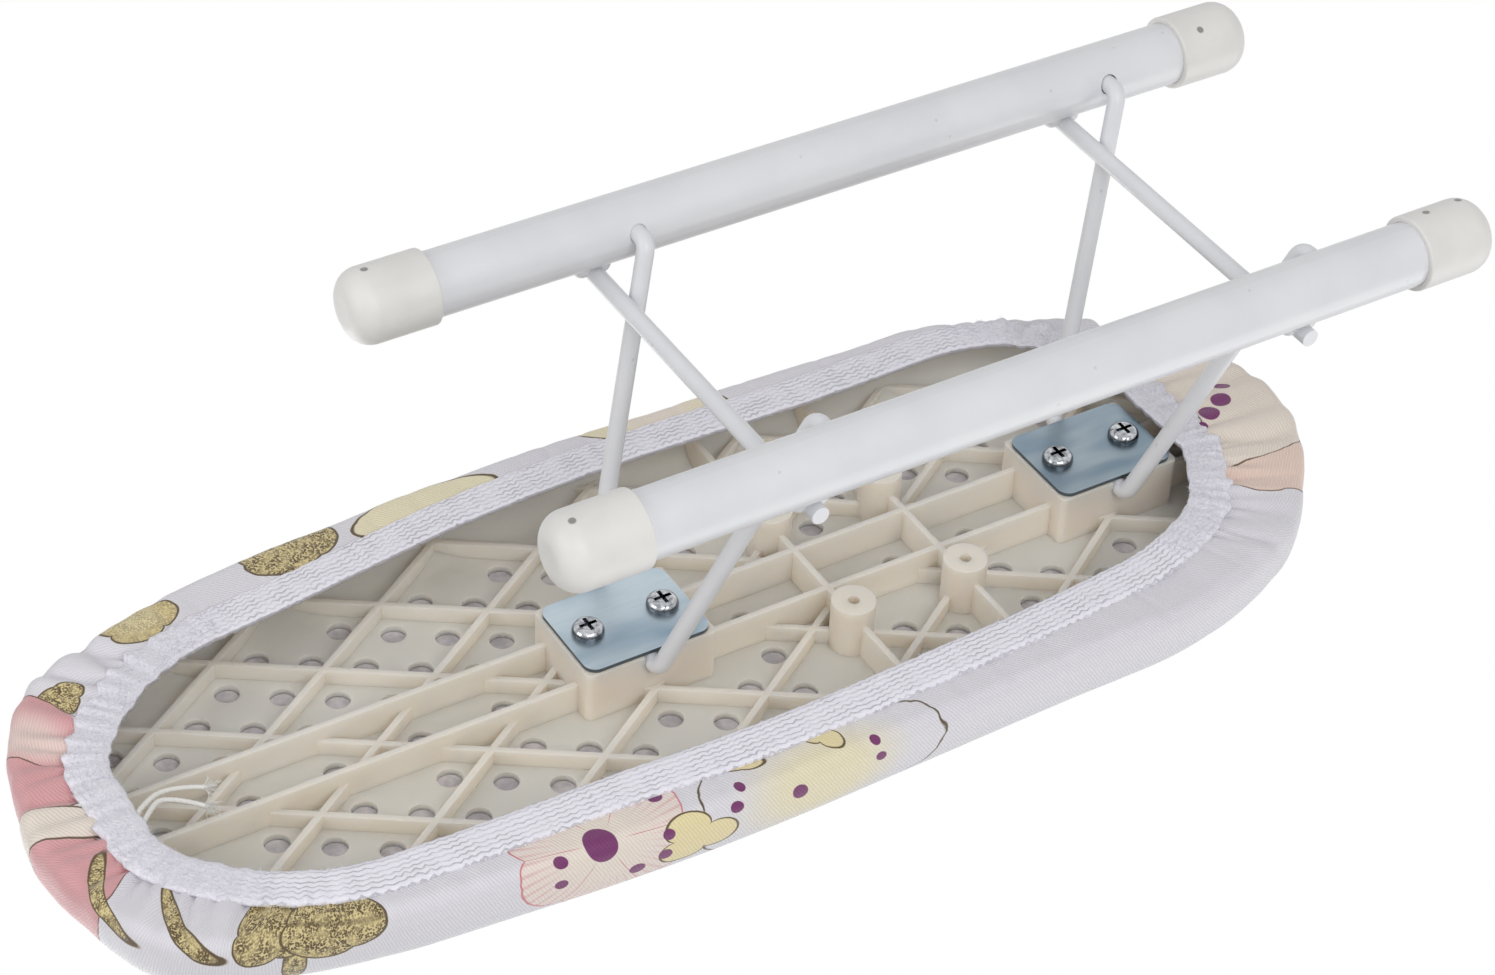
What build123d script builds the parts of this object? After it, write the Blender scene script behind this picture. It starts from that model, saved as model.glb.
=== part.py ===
"""Small folding sleeve ironing board.

Millimetres, +Z up.  The board stands on its four foot caps at z = 0 with the
ironing face on top.  -X is the nose end that a sleeve is pulled over, +X is
the heel end where the feet reach out past the board, +Y is the front tube.
The origin is on the floor, under the middle of the whole object.
"""
import os
from math import atan2, cos, degrees, hypot, radians, sin, sqrt, tan

from build123d import *

# ---------------------------------------------------------------- board shape
NOSE_REACH = 177.2        # origin to the nose tip of the cover
HEEL_REACH = 160.8        # origin to the heel tip of the cover
NOSE_FLAT_HALF = 42.6     # half width of the blunt nose, before rounding
SHOULDER_BACK = 51.5      # nose tip to the shoulder corner
SHOULDER_HALF = 60.1      # half width at the shoulder
WAIST_X = -47.3           # widest place, measured from the origin
WAIST_HALF = 67.1         # half width at the widest place, before rounding
HAUNCH_BACK = 60.4        # heel tip to the corner where the heel begins
HAUNCH_HALF = 63.1        # half width there
HEEL_TAPER_BACK = 26.8    # heel tip to the last corner
HEEL_TAPER_HALF = 46.1    # half width there
HEEL_FLAT_HALF = 15.0     # half width of the blunt heel, before rounding
NOSE_ROUND = 34.0
SHOULDER_ROUND = 120.0
WAIST_ROUND = 600.0
HAUNCH_ROUND = 90.0
HEEL_TAPER_ROUND = 45.0
HEEL_ROUND = 38.0

# ---------------------------------------------------------------- soft layers
COVER_T = 0.6             # fabric
COVER_TOP_ROUND = 15.6    # how the cover rolls over the ironing edge
COVER_UNDER_ROUND = 3.7   # how it rolls under to the hem
FOAM_T = 2.6
FOAM_SKIRT = 11.0         # how far the foam hangs down round the ironing edge
FOAM_EDGE = 0.3           # foam cut back from the cover
HEM_T = 2.2               # gathered elastic hem band
HEM_W = 10.2
HEM_DROP = 0.8            # hem hangs this far below the cover's under side
HEM_NOSE_BACK = 18.2      # nose tip of the cover to the hem's inner edge
HEM_HEEL_BACK = 36.4      # heel tip of the cover to the hem's inner edge
HEM_NOSE_HALF = 15.3      # half widths at the hem's own corners
HEM_SHOULDER_BACK = 19.6  # nose end of the hem to its shoulder corner
HEM_SHOULDER_HALF = 39.7
HEM_WAIST_X = -25.0
HEM_WAIST_HALF = 49.4
HEM_HAUNCH_BACK = 30.5    # heel end of the hem to its haunch corner
HEM_HAUNCH_HALF = 44.9
HEM_TAPER_BACK = 11.2
HEM_TAPER_HALF = 37.3
HEM_HEEL_HALF = 18.4

# ---------------------------------------------------------------------- tray
FLOOR_T = 2.0
TRAY_INSET = 1.6          # tray edge to the inside of the cover
TRAY_ROUND = 12.4         # how the floor turns down into the rim
RIM_T = 2.0
RIM_H = 15.4              # rim below the tray floor
RIM_LIFT = 1.6            # rim edge above the inside of the cover's under side
BOSS_H = 14.0             # tray floor to the seat of the plate
BOSS_MARGIN = 0.8         # boss larger than the plate, all round
BOSS_CORNER = 1.5
SPINE_Y = 8.0             # two long ribs, either side of the middle
SPINE_T = 1.6
SPINE_H = 9.2             # height of the long ribs between the bosses
SPINE_END_H = 8.1         # height on to the nose and the heel
LATTICE_T = 1.6           # diagonal ribs
LATTICE_H = 4.2
LATTICE_X = -7.7          # a crossing of the diagonal ribs on the middle line
CELL_X = 22.1             # half the length of one diamond of the lattice
CELL_Y = 14.5             # half the width of one diamond
CROSS_RIB_X = (22.3, 54.8)
CROSS_RIB_T = 1.6
CROSS_RIB_H = 9.2
POST_Y = 19.3
POST_D = 11.0
POST_H = 13.7
POST_BORE_D = 3.0
POST_BORE_DEPTH = 10.0
VENT_D = 6.3
VENT_EDGE = 13.8          # vent centres stay this far inside the rim

# ---------------------------------------------------- leg plates and screws
PLATE_L = 33.7
PLATE_W = 25.6
PLATE_T = 1.0
PLATE_CORNER = 3.2
SCREW_PITCH = 20.4
SCREW_D = 3.2
SCREW_LEN = 7.6
SCREW_HEAD_D = 8.0
SCREW_HEAD_H = 2.6
SCREW_HOLE_FIT = 0.2      # radial, in the plate
SCREW_BOSS_FIT = 0.05     # radial, in the boss
RECESS_W = 1.0
RECESS_L = 4.6
RECESS_DEPTH = 1.7

# ----------------------------------------------------------------- wire legs
WIRE_D = 4.4
NOSE_AXLE_X = -30.2       # pivot of the nose leg in the board
HEEL_AXLE_BACK = 55.1     # pivot of the heel leg, back from the heel tip
LEG_RISE = 81.1           # height between the two pivots of a leg, standing
LEG_RUN = 25.5            # how far the feet lean out towards the heel
AXLE_HALF = 16.2          # half length of the axle run, to the bend's corner
AXLE_BEND = 3.4
ARM_GAP = 3.4             # end bend's corner to the tube's inner side
END_BEND = 3.2
END_REACH = 5.0           # bent-in end beyond the tube's inner side
AXLE_FIT = 0.06           # radial, in the boss
NOSE_PIVOT_FIT = 0.10     # radial, in the tube holes of the nose leg
HEEL_PIVOT_FIT = 0.30     # radial, in the tube holes of the heel leg

# ---------------------------------------------------------------- foot frame
TUBE_OD = 16.0
TUBE_WALL = 1.0
TUBE_LEN_SHOWN = 211.2    # between the mouths of its two caps
TUBE_MID_X = 48.6
TUBE_SPACING = 98.0
HOLE_DROP = 2.0           # leg holes below the tube's middle
CROSSBAR_OVER = 5.5       # bar end beyond the tube's middle
STOP_GAP = 0.05           # bar to leg arm, standing
BEAD_D = 5.2
CAP_OD = 18.7
CAP_LEN = 21.4            # beyond the mouth
CAP_BORE_DEPTH = 15.0
CAP_FIT = 0.05            # radial, on the tube
CAP_ROUND = 6.0
CAP_MOUTH_ROUND = 0.5

# ---------------------------------------------------------------- drawstring
CORD_D = 1.3
CORD_FIT = 0.07

# ------------------------------------------------------------- derived sizes
wire_r = WIRE_D / 2
tube_r = TUBE_OD / 2
tube_y = TUBE_SPACING / 2
tube_z = CAP_OD / 2
pivot_z = tube_z - HOLE_DROP
axle_z = pivot_z + LEG_RISE
leg_length = hypot(LEG_RUN, LEG_RISE)
plate_top = axle_z - wire_r - AXLE_FIT
plate_face = plate_top - PLATE_T
floor_z = plate_top + BOSS_H
floor_top = floor_z + FLOOR_T
foam_top = floor_top + FOAM_T
cover_top = foam_top + COVER_T
rim_z = floor_z - RIM_H
cover_under = rim_z - RIM_LIFT - COVER_T
hem_under = cover_under - HEM_DROP
heel_axle_x = HEEL_REACH - HEEL_AXLE_BACK
axle_pitch = heel_axle_x - NOSE_AXLE_X
nose_pivot_x = NOSE_AXLE_X + LEG_RUN
heel_pivot_x = heel_axle_x + LEG_RUN
bar_z = tube_z + tube_r + wire_r
bar_back = (LEG_RUN * (bar_z - pivot_z) + (WIRE_D + STOP_GAP) * leg_length) / LEG_RISE
nose_bar_x = nose_pivot_x - bar_back
heel_bar_x = heel_pivot_x - bar_back

PARTS = {}


def eased(points, radii):
    """Corner radii, made smaller only where two neighbouring roundings would meet on their edge."""
    count = len(points)
    vectors = [Vector(*p) for p in points]
    runs = [vectors[(i + 1) % count] - vectors[i] for i in range(count)]
    reach = [radii[i] * tan(radians(runs[i - 1].get_angle(runs[i])) / 2) for i in range(count)]
    share = [min(1.0, 0.98 * runs[i].length / (reach[i] + reach[(i + 1) % count])) for i in range(count)]
    return [radii[i] * min(share[i - 1], share[i]) for i in range(count)]


def closed_outline(upper, rounds):
    """Face bounded by corner points, mirrored across the X axis and rounded."""
    points = upper + [(x, -y) for x, y in reversed(upper)]
    radii = eased(points, rounds + list(reversed(rounds)))
    return make_face(FilletPolyline(*points, radius=radii, close=True))


def slab(face, z0, z1):
    """Solid from a flat outline, between two heights."""
    return extrude(Pos(0, 0, z0) * face, amount=z1 - z0)


def box(x0, x1, y0, y1, z0, z1):
    """Box between pairs of limits."""
    middle = Pos((x0 + x1) / 2, (y0 + y1) / 2, (z0 + z1) / 2)
    return middle * Box(x1 - x0, y1 - y0, z1 - z0)


def rod_x(radius, x0, x1, y, z):
    """Round bar along X."""
    return Pos((x0 + x1) / 2, y, z) * Rot(0, 90, 0) * Cylinder(radius, x1 - x0)


def rod_y(radius, y0, y1, x, z):
    """Round bar along Y."""
    return Pos(x, (y0 + y1) / 2, z) * Rot(90, 0, 0) * Cylinder(radius, y1 - y0)


def rod_z(radius, z0, z1, x, y):
    """Round bar along Z."""
    return Pos(x, y, (z0 + z1) / 2) * Cylinder(radius, z1 - z0)


def tube_along(path, radius):
    """Round solid along a path of lines and tangent arcs."""
    start = Plane(origin=path @ 0, z_dir=path % 0)
    return sweep(start * Circle(radius), path=path)


# ------------------------------------------------------------------ outlines
board_outline = closed_outline(
    [(-NOSE_REACH, NOSE_FLAT_HALF),
     (-NOSE_REACH + SHOULDER_BACK, SHOULDER_HALF),
     (WAIST_X, WAIST_HALF),
     (HEEL_REACH - HAUNCH_BACK, HAUNCH_HALF),
     (HEEL_REACH - HEEL_TAPER_BACK, HEEL_TAPER_HALF),
     (HEEL_REACH, HEEL_FLAT_HALF)],
    [NOSE_ROUND, SHOULDER_ROUND, WAIST_ROUND, HAUNCH_ROUND, HEEL_TAPER_ROUND, HEEL_ROUND])

hem_nose_x = -NOSE_REACH + HEM_NOSE_BACK
hem_heel_x = HEEL_REACH - HEM_HEEL_BACK
hem_inner = closed_outline(
    [(hem_nose_x, HEM_NOSE_HALF),
     (hem_nose_x + HEM_SHOULDER_BACK, HEM_SHOULDER_HALF),
     (HEM_WAIST_X, HEM_WAIST_HALF),
     (hem_heel_x - HEM_HAUNCH_BACK, HEM_HAUNCH_HALF),
     (hem_heel_x - HEM_TAPER_BACK, HEM_TAPER_HALF),
     (hem_heel_x, HEM_HEEL_HALF)],
    [16.0, 52.0, 500.0, 60.0, 25.0, 16.0])

hem_outer = offset(hem_inner, amount=HEM_W)
cover_inside = offset(board_outline, amount=-COVER_T)
tray_outline = offset(board_outline, amount=-COVER_T - TRAY_INSET)
tray_middle = offset(tray_outline, amount=-RIM_T / 2)
tray_inside = offset(tray_outline, amount=-RIM_T)
foam_outline = offset(board_outline, amount=-COVER_T - FOAM_EDGE)


# ---------------------------------------------------------------- drawstring
def cord_path(points):
    """Path of a limp cord: each arc is as large as its two runs allow."""
    radii = []
    for a, b, c in zip(points, points[1:], points[2:]):
        first = Vector(*b) - Vector(*a)
        second = Vector(*c) - Vector(*b)
        half_turn = radians(first.get_angle(second)) / 2
        radii.append(0.45 * min(first.length, second.length) / tan(half_turn))
    print("cord radii", [round(r, 1) for r in radii])
    return FilletPolyline(*points, radius=radii)


hem_mid = hem_under + HEM_T / 2
STRANDS = {
    "drawstring_long": [(hem_nose_x - 5.0, 21.0, hem_mid), (hem_nose_x - 5.2, 12.2, hem_mid),
                        (hem_nose_x + 1.1, 5.4, hem_mid + 0.2),
                        (hem_nose_x + 9.5, 0.8, hem_mid + 1.4),
                        (hem_nose_x + 17.8, 5.0, hem_mid + 2.0)],
    "drawstring_short": [(hem_nose_x - 2.7, 20.5, hem_mid), (hem_nose_x - 2.9, 13.1, hem_mid),
                         (hem_nose_x + 1.9, 8.1, hem_mid + 0.2),
                         (hem_nose_x + 7.8, 3.0, hem_mid + 1.2),
                         (hem_nose_x + 15.4, 11.0, hem_mid + 1.9)],
}
cord_channels = []
for name, points in STRANDS.items():
    path = cord_path(points)
    strand = tube_along(path, CORD_D / 2)
    ideal = path.length * 3.14159265 * CORD_D ** 2 / 4
    print(name, "length", round(path.length, 2), "volume ratio", round(strand.volume / ideal, 4))
    PARTS[name] = strand
    cord_channels.append(tube_along(path, CORD_D / 2 + CORD_FIT))


def tray_block(face, top, rounding):
    """Full solid down to the rim, its top edge rounded."""
    block = slab(face, rim_z, top)
    return fillet(block.faces().sort_by(Axis.Z)[-1].edges(), rounding)


# --------------------------------------------------------------- soft layers
def cover_shell():
    """Fabric sock: over the ironing face, round the edge and under to the hem."""
    outside = slab(board_outline, cover_under, cover_top)
    outside = fillet(outside.faces().sort_by(Axis.Z)[-1].edges(), COVER_TOP_ROUND)
    outside = fillet(outside.faces().sort_by(Axis.Z)[0].edges(), COVER_UNDER_ROUND)
    inside = slab(cover_inside, cover_under + COVER_T, foam_top)
    inside = fillet(inside.faces().sort_by(Axis.Z)[-1].edges(), COVER_TOP_ROUND - COVER_T)
    inside = fillet(inside.faces().sort_by(Axis.Z)[0].edges(), COVER_UNDER_ROUND - COVER_T)
    mouth = slab(hem_outer, cover_under - 1, cover_under + COVER_T + 0.5)
    return outside - inside - mouth


def foam_sheet():
    """Foam laid over the tray: flat on top, hanging a little way round the edge."""
    sheet = tray_block(foam_outline, foam_top, COVER_TOP_ROUND - COVER_T)
    sheet -= tray_block(tray_outline, floor_top, TRAY_ROUND)
    return sheet - box(-NOSE_REACH, HEEL_REACH, -WAIST_HALF, WAIST_HALF,
                       rim_z - 1, foam_top - FOAM_SKIRT)


def hem_ring():
    """Elastic hem band, drawn in all round; the drawstring leaves it at the nose."""
    ring = slab(hem_outer, hem_under, hem_under + HEM_T) - slab(hem_inner, hem_under, hem_under + HEM_T)
    for channel in cord_channels:
        ring = ring - channel
    return ring


PARTS["fabric_cover"] = cover_shell()
PARTS["foam_pad"] = foam_sheet()
PARTS["elastic_hem"] = hem_ring()


# ----------------------------------------------------------------------- tray
boss_half_x = PLATE_L / 2 + BOSS_MARGIN
boss_half_y = PLATE_W / 2 + BOSS_MARGIN
board_len = NOSE_REACH + HEEL_REACH


def lattice_sketch():
    """Diagonal ribs in both directions, as flat strips over the whole tray."""
    slope = degrees(atan2(CELL_Y, CELL_X))
    strips = []
    count = int(board_len / (2 * CELL_X)) + 4
    for k in range(-count, count + 1):
        for side in (1, -1):
            x = LATTICE_X + 2 * k * CELL_X
            strips.append(Pos(x, 0) * Rot(0, 0, side * slope) * Rectangle(2 * board_len, LATTICE_T))
    bay = Rectangle(axle_pitch - 2 * boss_half_x, 2 * SPINE_Y)
    middle = NOSE_AXLE_X + axle_pitch / 2
    return (Sketch() + strips) & tray_middle - Pos(middle, 0) * bay


def spine_rib(y):
    """Long rib: deepest between the bosses, then level on to both ends."""
    fore = NOSE_AXLE_X - boss_half_x
    aft = heel_axle_x + boss_half_x
    profile = Plane.XZ.offset(-y - SPINE_T / 2) * make_face(Polyline(
        (-NOSE_REACH, floor_z + 0.5), (-NOSE_REACH, floor_z - SPINE_END_H),
        (fore, floor_z - SPINE_END_H), (fore + 1.0, floor_z - SPINE_H),
        (aft - 1.0, floor_z - SPINE_H), (aft, floor_z - SPINE_END_H),
        (HEEL_REACH, floor_z - SPINE_END_H), (HEEL_REACH, floor_z + 0.5), close=True))
    return extrude(profile, amount=SPINE_T)


def vent_points():
    """Staggered vent holes, clear of ribs, bosses and posts."""
    row, pitch = CELL_Y / 2, CELL_X / 2
    field = offset(tray_inside, amount=-VENT_EDGE).face()
    spots = []
    rows = int(WAIST_HALF / row) + 1
    columns = int(board_len / pitch) + 2
    for k in range(-rows, rows + 1):
        shift = LATTICE_X if k % 2 else LATTICE_X + pitch
        for n in range(-columns, columns + 1):
            x, y = shift + n * CELL_X, k * row
            if abs(abs(y) - SPINE_Y) < VENT_D / 2 + SPINE_T / 2:
                continue
            if not field.is_inside(Vector(x, y, 0)):
                continue
            margin = VENT_D / 2 + 0.6
            near_boss = abs(y) < boss_half_y + margin and any(
                abs(x - ax) < boss_half_x + margin for ax in (NOSE_AXLE_X, heel_axle_x))
            near_rib = any(abs(x - rx) < CROSS_RIB_T / 2 + margin for rx in CROSS_RIB_X)
            near_post = any(hypot(x - rx, abs(y) - POST_Y) < POST_D / 2 + margin for rx in CROSS_RIB_X)
            if not (near_boss or near_rib or near_post):
                spots.append((x, y))
    return spots


def moulded_tray():
    """Plastic tray: floor, rim, bosses, long, cross and diagonal ribs, posts."""
    core = tray_block(tray_middle, floor_top - RIM_T / 2, TRAY_ROUND - RIM_T / 2)
    ribs = slab(lattice_sketch(), floor_z - LATTICE_H, floor_z + 0.2)
    for y in (-SPINE_Y, SPINE_Y):
        ribs += spine_rib(y)
    for x in CROSS_RIB_X:
        ribs += box(x - CROSS_RIB_T / 2, x + CROSS_RIB_T / 2, -WAIST_HALF, WAIST_HALF,
                    floor_z - CROSS_RIB_H, floor_z + 0.2)
    tray = tray_block(tray_outline, floor_top, TRAY_ROUND)
    tray -= tray_block(tray_inside, floor_z, TRAY_ROUND - RIM_T)
    tray += ribs & core
    for x in CROSS_RIB_X:
        for y in (-POST_Y, POST_Y):
            tray += rod_z(POST_D / 2, floor_z - POST_H, floor_z + 0.2, x, y)
    for x in (NOSE_AXLE_X, heel_axle_x):
        boss = box(x - boss_half_x, x + boss_half_x, -boss_half_y, boss_half_y, plate_top, floor_z + 0.2)
        tray += fillet(boss.edges().filter_by(Axis.Z), BOSS_CORNER)
    for x in CROSS_RIB_X:
        for y in (-POST_Y, POST_Y):
            bottom = floor_z - POST_H
            tray -= rod_z(POST_BORE_D / 2, bottom - 1, bottom + POST_BORE_DEPTH, x, y)
    for x in (NOSE_AXLE_X, heel_axle_x):
        groove_r = wire_r + AXLE_FIT
        tray -= box(x - groove_r, x + groove_r, -boss_half_y - 1, boss_half_y + 1, plate_top - 1, axle_z)
        tray -= rod_y(groove_r, -boss_half_y - 1, boss_half_y + 1, x, axle_z)
        for side in (-1, 1):
            tray -= rod_z(SCREW_D / 2 + SCREW_BOSS_FIT, plate_top - 1, plate_top + SCREW_LEN - PLATE_T + 0.4,
                          x + side * SCREW_PITCH / 2, 0)
    vents = Sketch() + [Pos(x, y) * Circle(VENT_D / 2) for x, y in vent_points()]
    return tray - slab(vents, floor_z - LATTICE_H - 1, floor_top + 1)


PARTS["board_tray"] = moulded_tray()


# ------------------------------------------------------- leg plates, screws
def leg_plate(x):
    """Flat steel plate that shuts the axle groove."""
    outline = RectangleRounded(PLATE_L, PLATE_W, PLATE_CORNER)
    for side in (-1, 1):
        outline -= Pos(side * SCREW_PITCH / 2, 0) * Circle(SCREW_D / 2 + SCREW_HOLE_FIT)
    return slab(Pos(x, 0) * outline, plate_face, plate_top)


def pan_screw(x, y):
    """Pan-head screw with a cross recess, pointing up into the boss."""
    head_z = plate_face - SCREW_HEAD_H
    head = rod_z(SCREW_HEAD_D / 2, head_z, plate_face, x, y)
    head = fillet(head.edges().sort_by(Axis.Z)[0], SCREW_HEAD_H * 0.8)
    half, long_half = RECESS_W / 2, RECESS_L / 2
    for a, b in ((half, long_half), (long_half, half)):
        head -= box(x - a, x + a, y - b, y + b, head_z - 1, head_z + RECESS_DEPTH)
    taper = 1.6
    straight = rod_z(SCREW_D / 2, plate_face, plate_face + SCREW_LEN - taper, x, y)
    tip_z = plate_face + SCREW_LEN - taper / 2
    tip = Pos(x, y, tip_z) * Cone(SCREW_D / 2, 0.4, taper)
    return head + straight + tip


for name, x in (("nose", NOSE_AXLE_X), ("heel", heel_axle_x)):
    PARTS[name + "_plate"] = leg_plate(x)
    PARTS[name + "_plate_screw_fore"] = pan_screw(x - SCREW_PITCH / 2, 0)
    PARTS[name + "_plate_screw_aft"] = pan_screw(x + SCREW_PITCH / 2, 0)


# ------------------------------------------------------------------ wire legs
arm_y = tube_y - tube_r - ARM_GAP


def wire_leg(axle_x):
    """U-shaped wire leg: axle run, two leaning arms, ends bent out into the tubes."""
    foot_x = axle_x + LEG_RUN
    end_y = tube_y - tube_r + END_REACH
    half = [(axle_x, AXLE_HALF, axle_z), (foot_x, arm_y, pivot_z), (foot_x, end_y, pivot_z)]
    points = [(x, -y, z) for x, y, z in reversed(half)] + half
    path = FilletPolyline(*points, radius=[END_BEND, AXLE_BEND, AXLE_BEND, END_BEND])
    wire = tube_along(path, wire_r)
    ideal = path.length * 3.14159265 * wire_r ** 2
    print("leg wire length", round(path.length, 1), "volume ratio", round(wire.volume / ideal, 4))
    return wire


PARTS["nose_leg"] = wire_leg(NOSE_AXLE_X)
PARTS["heel_leg"] = wire_leg(heel_axle_x)


# ----------------------------------------------------------------- foot frame
tube_x0 = TUBE_MID_X - TUBE_LEN_SHOWN / 2
tube_x1 = TUBE_MID_X + TUBE_LEN_SHOWN / 2
cap_grip = CAP_BORE_DEPTH - 1.0


def foot_tube(side):
    """Steel tube with two leg holes in its inner side."""
    y = side * tube_y
    tube = rod_x(tube_r, tube_x0 - cap_grip, tube_x1 + cap_grip, y, tube_z)
    tube -= rod_x(tube_r - TUBE_WALL, tube_x0 - cap_grip - 1, tube_x1 + cap_grip + 1, y, tube_z)
    near, far = sorted((side * (tube_y - tube_r - 1), side * (tube_y - 1)))
    tube -= rod_y(wire_r + NOSE_PIVOT_FIT, near, far, nose_pivot_x, pivot_z)
    tube -= rod_y(wire_r + HEEL_PIVOT_FIT, near, far, heel_pivot_x, pivot_z)
    return tube


def foot_cap(side, mouth_x, outward):
    """Soft plastic cap over a tube end, closed and rounded outside."""
    y = side * tube_y
    x0, x1 = sorted((mouth_x, mouth_x + outward * CAP_LEN))
    body = rod_x(CAP_OD / 2, x0, x1, y, tube_z)
    outer_edge = body.edges().sort_by(Axis.X)[-1 if outward > 0 else 0]
    body = fillet(outer_edge, CAP_ROUND)
    mouth_edge = body.edges().sort_by(Axis.X)[0 if outward > 0 else -1]
    body = fillet(mouth_edge, CAP_MOUTH_ROUND)
    x0, x1 = sorted((mouth_x - outward, mouth_x + outward * CAP_BORE_DEPTH))
    return body - rod_x(tube_r + CAP_FIT, x0, x1, y, tube_z)


for name, side in (("front", 1), ("back", -1)):
    PARTS[name + "_tube"] = foot_tube(side)
    PARTS[name + "_cap_nose"] = foot_cap(side, tube_x0, -1)
    PARTS[name + "_cap_heel"] = foot_cap(side, tube_x1, 1)

bar_half = tube_y + CROSSBAR_OVER
for name, x in (("nose", nose_bar_x), ("heel", heel_bar_x)):
    PARTS[name + "_crossbar"] = rod_y(wire_r, -bar_half, bar_half, x, bar_z)


def weld_bead(x, y, side):
    """Bead in the corner between a crossbar and a tube."""
    reach = BEAD_D / 2 + 0.1
    lump = Pos(x + side * reach * 0.94, y, bar_z - wire_r + reach * 0.34) * Sphere(BEAD_D / 2)
    lump -= rod_y(wire_r, y - 8, y + 8, x, bar_z)
    return lump - rod_x(tube_r, x - 12, x + 12, y, tube_z)


beads = [weld_bead(x, y, side).solid()
         for x in (nose_bar_x, heel_bar_x) for y in (-tube_y, tube_y) for side in (-1, 1)]
PARTS["weld_beads"] = Compound(children=beads)

# ----------------------------------------------------------------- write-out
print("axle", NOSE_AXLE_X, heel_axle_x, round(axle_z, 3), "pivot", nose_pivot_x, heel_pivot_x, pivot_z)
print("bars", round(nose_bar_x, 3), round(heel_bar_x, 3), round(bar_z, 3))
fold_rise = (bar_z + wire_r - pivot_z) + (axle_z - hem_under) + 0.5
print("fold angle", 90 + degrees(atan2(LEG_RUN, LEG_RISE)) - degrees(atan2(fold_rise, sqrt(leg_length ** 2 - fold_rise ** 2))))
print("levels", dict(plate_face=plate_face, plate_top=plate_top, floor_z=floor_z, floor_top=floor_top,
                     cover_under=cover_under, hem_under=hem_under, cover_top=cover_top, rim_z=rim_z))

os.makedirs("parts", exist_ok=True)
for name, shape in PARTS.items():
    export_step(shape, os.path.join("parts", name + ".step"))
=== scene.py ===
"""Dresses a small folding sleeve ironing board: fabric, elastic hem, drawstring, plastic, enamel and zinc.

Metres, +Z up. The board stands on its foot caps at z = 0, the ironing face on top; -X is the nose end,
+X the heel end and +Y the front tube.
"""
import math
import random

import bmesh
import bpy
import numpy as np
from bpy.props import FloatProperty, FloatVectorProperty, IntProperty, PointerProperty
from mathutils import Matrix, Vector


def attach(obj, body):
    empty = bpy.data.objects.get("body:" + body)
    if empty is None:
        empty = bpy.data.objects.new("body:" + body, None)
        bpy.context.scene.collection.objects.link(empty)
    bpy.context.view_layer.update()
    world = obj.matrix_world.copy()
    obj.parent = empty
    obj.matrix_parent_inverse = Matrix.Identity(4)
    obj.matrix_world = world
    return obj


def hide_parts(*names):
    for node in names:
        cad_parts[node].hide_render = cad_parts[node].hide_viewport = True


bl_info = {
    "name": "Sleeve Ironing Board",
    "version": (1, 0, 0),
    "blender": (4, 5, 0),
    "location": "View3D > Sidebar > Sleeve Board",
    "description": "Builds the cover, hem, padding, drawstring and finishes of a small folding ironing board",
    "category": "Object",
}

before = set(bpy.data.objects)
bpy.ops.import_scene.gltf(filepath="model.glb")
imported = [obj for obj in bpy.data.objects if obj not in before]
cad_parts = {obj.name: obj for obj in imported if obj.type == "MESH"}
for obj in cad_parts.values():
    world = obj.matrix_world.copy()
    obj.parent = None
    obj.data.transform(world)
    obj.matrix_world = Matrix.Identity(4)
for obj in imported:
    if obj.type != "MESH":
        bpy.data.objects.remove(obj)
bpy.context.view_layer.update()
MM = 0.001

# ------------------------------------------------------------ plan of the board, millimetres
BOARD_CORNERS = [(-177.2, 42.6, 34), (-125.7, 60.1, 120), (-47.3, 67.1, 600),
                 (100.4, 63.1, 90), (134.0, 46.1, 45), (160.8, 15.0, 38)]
HEM_CORNERS = [(-159.0, 15.3, 16), (-139.4, 39.7, 52), (-25.0, 49.4, 500),
               (93.9, 44.9, 60), (113.2, 37.3, 25), (124.4, 18.4, 16)]
HEM_WIDTH = 10.2
HEM_UNDER = 81.79
HEM_OVER = 83.99
COVER_UNDER = 82.59
COVER_TOP = 105.39
TOP_ROUND = 15.6
UNDER_ROUND = 3.7
TRAY_TOP = 102.19
TRAY_ROUND = 12.4
TRAY_INSET = 2.2
FOAM_TOP = 104.6
FOAM_SKIRT = 11.0
FOAM_UNDER_CLOTH = 1.0
FOAM_OFF_TRAY = 0.05
SPINE_FROM = -105.0
SPINE_TO = 82.0

# The cloth sits a little askew on the board: sideways shift along the length, as (x, shift) pairs
HEM_LEAN = [(-160, 4.3), (-118, 4.5), (-97, 3.7), (-56, 1.0), (0, 0.0),
            (50, -0.5), (65, -1.2), (84, -2.4), (101, -4.0), (124, -4.6)]
FRONT_LEAN = [(-177, 7.0), (-165, 6.0), (-150, 3.6), (-125, 2.0), (-60, 1.9),
              (60, 1.7), (100, 2.6), (128, 4.6), (145, 4.4), (161, 2.4)]
BACK_LEAN = [(-177, 0.75), (0, 0.7), (161, 0.6)]     # small: the foam lies close under the cloth there
LEAN_BLEND = 22.0           # the front and back shifts blend over this distance from the middle line

NOSE_BULGE = 6.0            # how far the cloth stands out at the middle of the nose
NOSE_BULGE_Y = 4.0          # where the bulge is highest
NOSE_BULGE_HALF = 21.0      # and its half width
NOSE_BULGE_X = (-150, -172) # x from which, and by which fully, it shows
NOSE_GATHER = (-118, -150)  # x from which, and by which fully, the cloth is drawn together
HEEL_GATHER = (92, 128)
SIDE_GATHER = 0.12          # share of the gathering along the sides
FOLD_FADE = 20.0            # a long fold fades out over this distance from the hem
GATHER_WAVE = 0.35          # height of the small gathers where the cloth is drawn together
SLACK_WAVE = 0.24           # height of the long waves all round
HEM_TUCK = 2.4              # how far the cover runs in under the hem band

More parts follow.
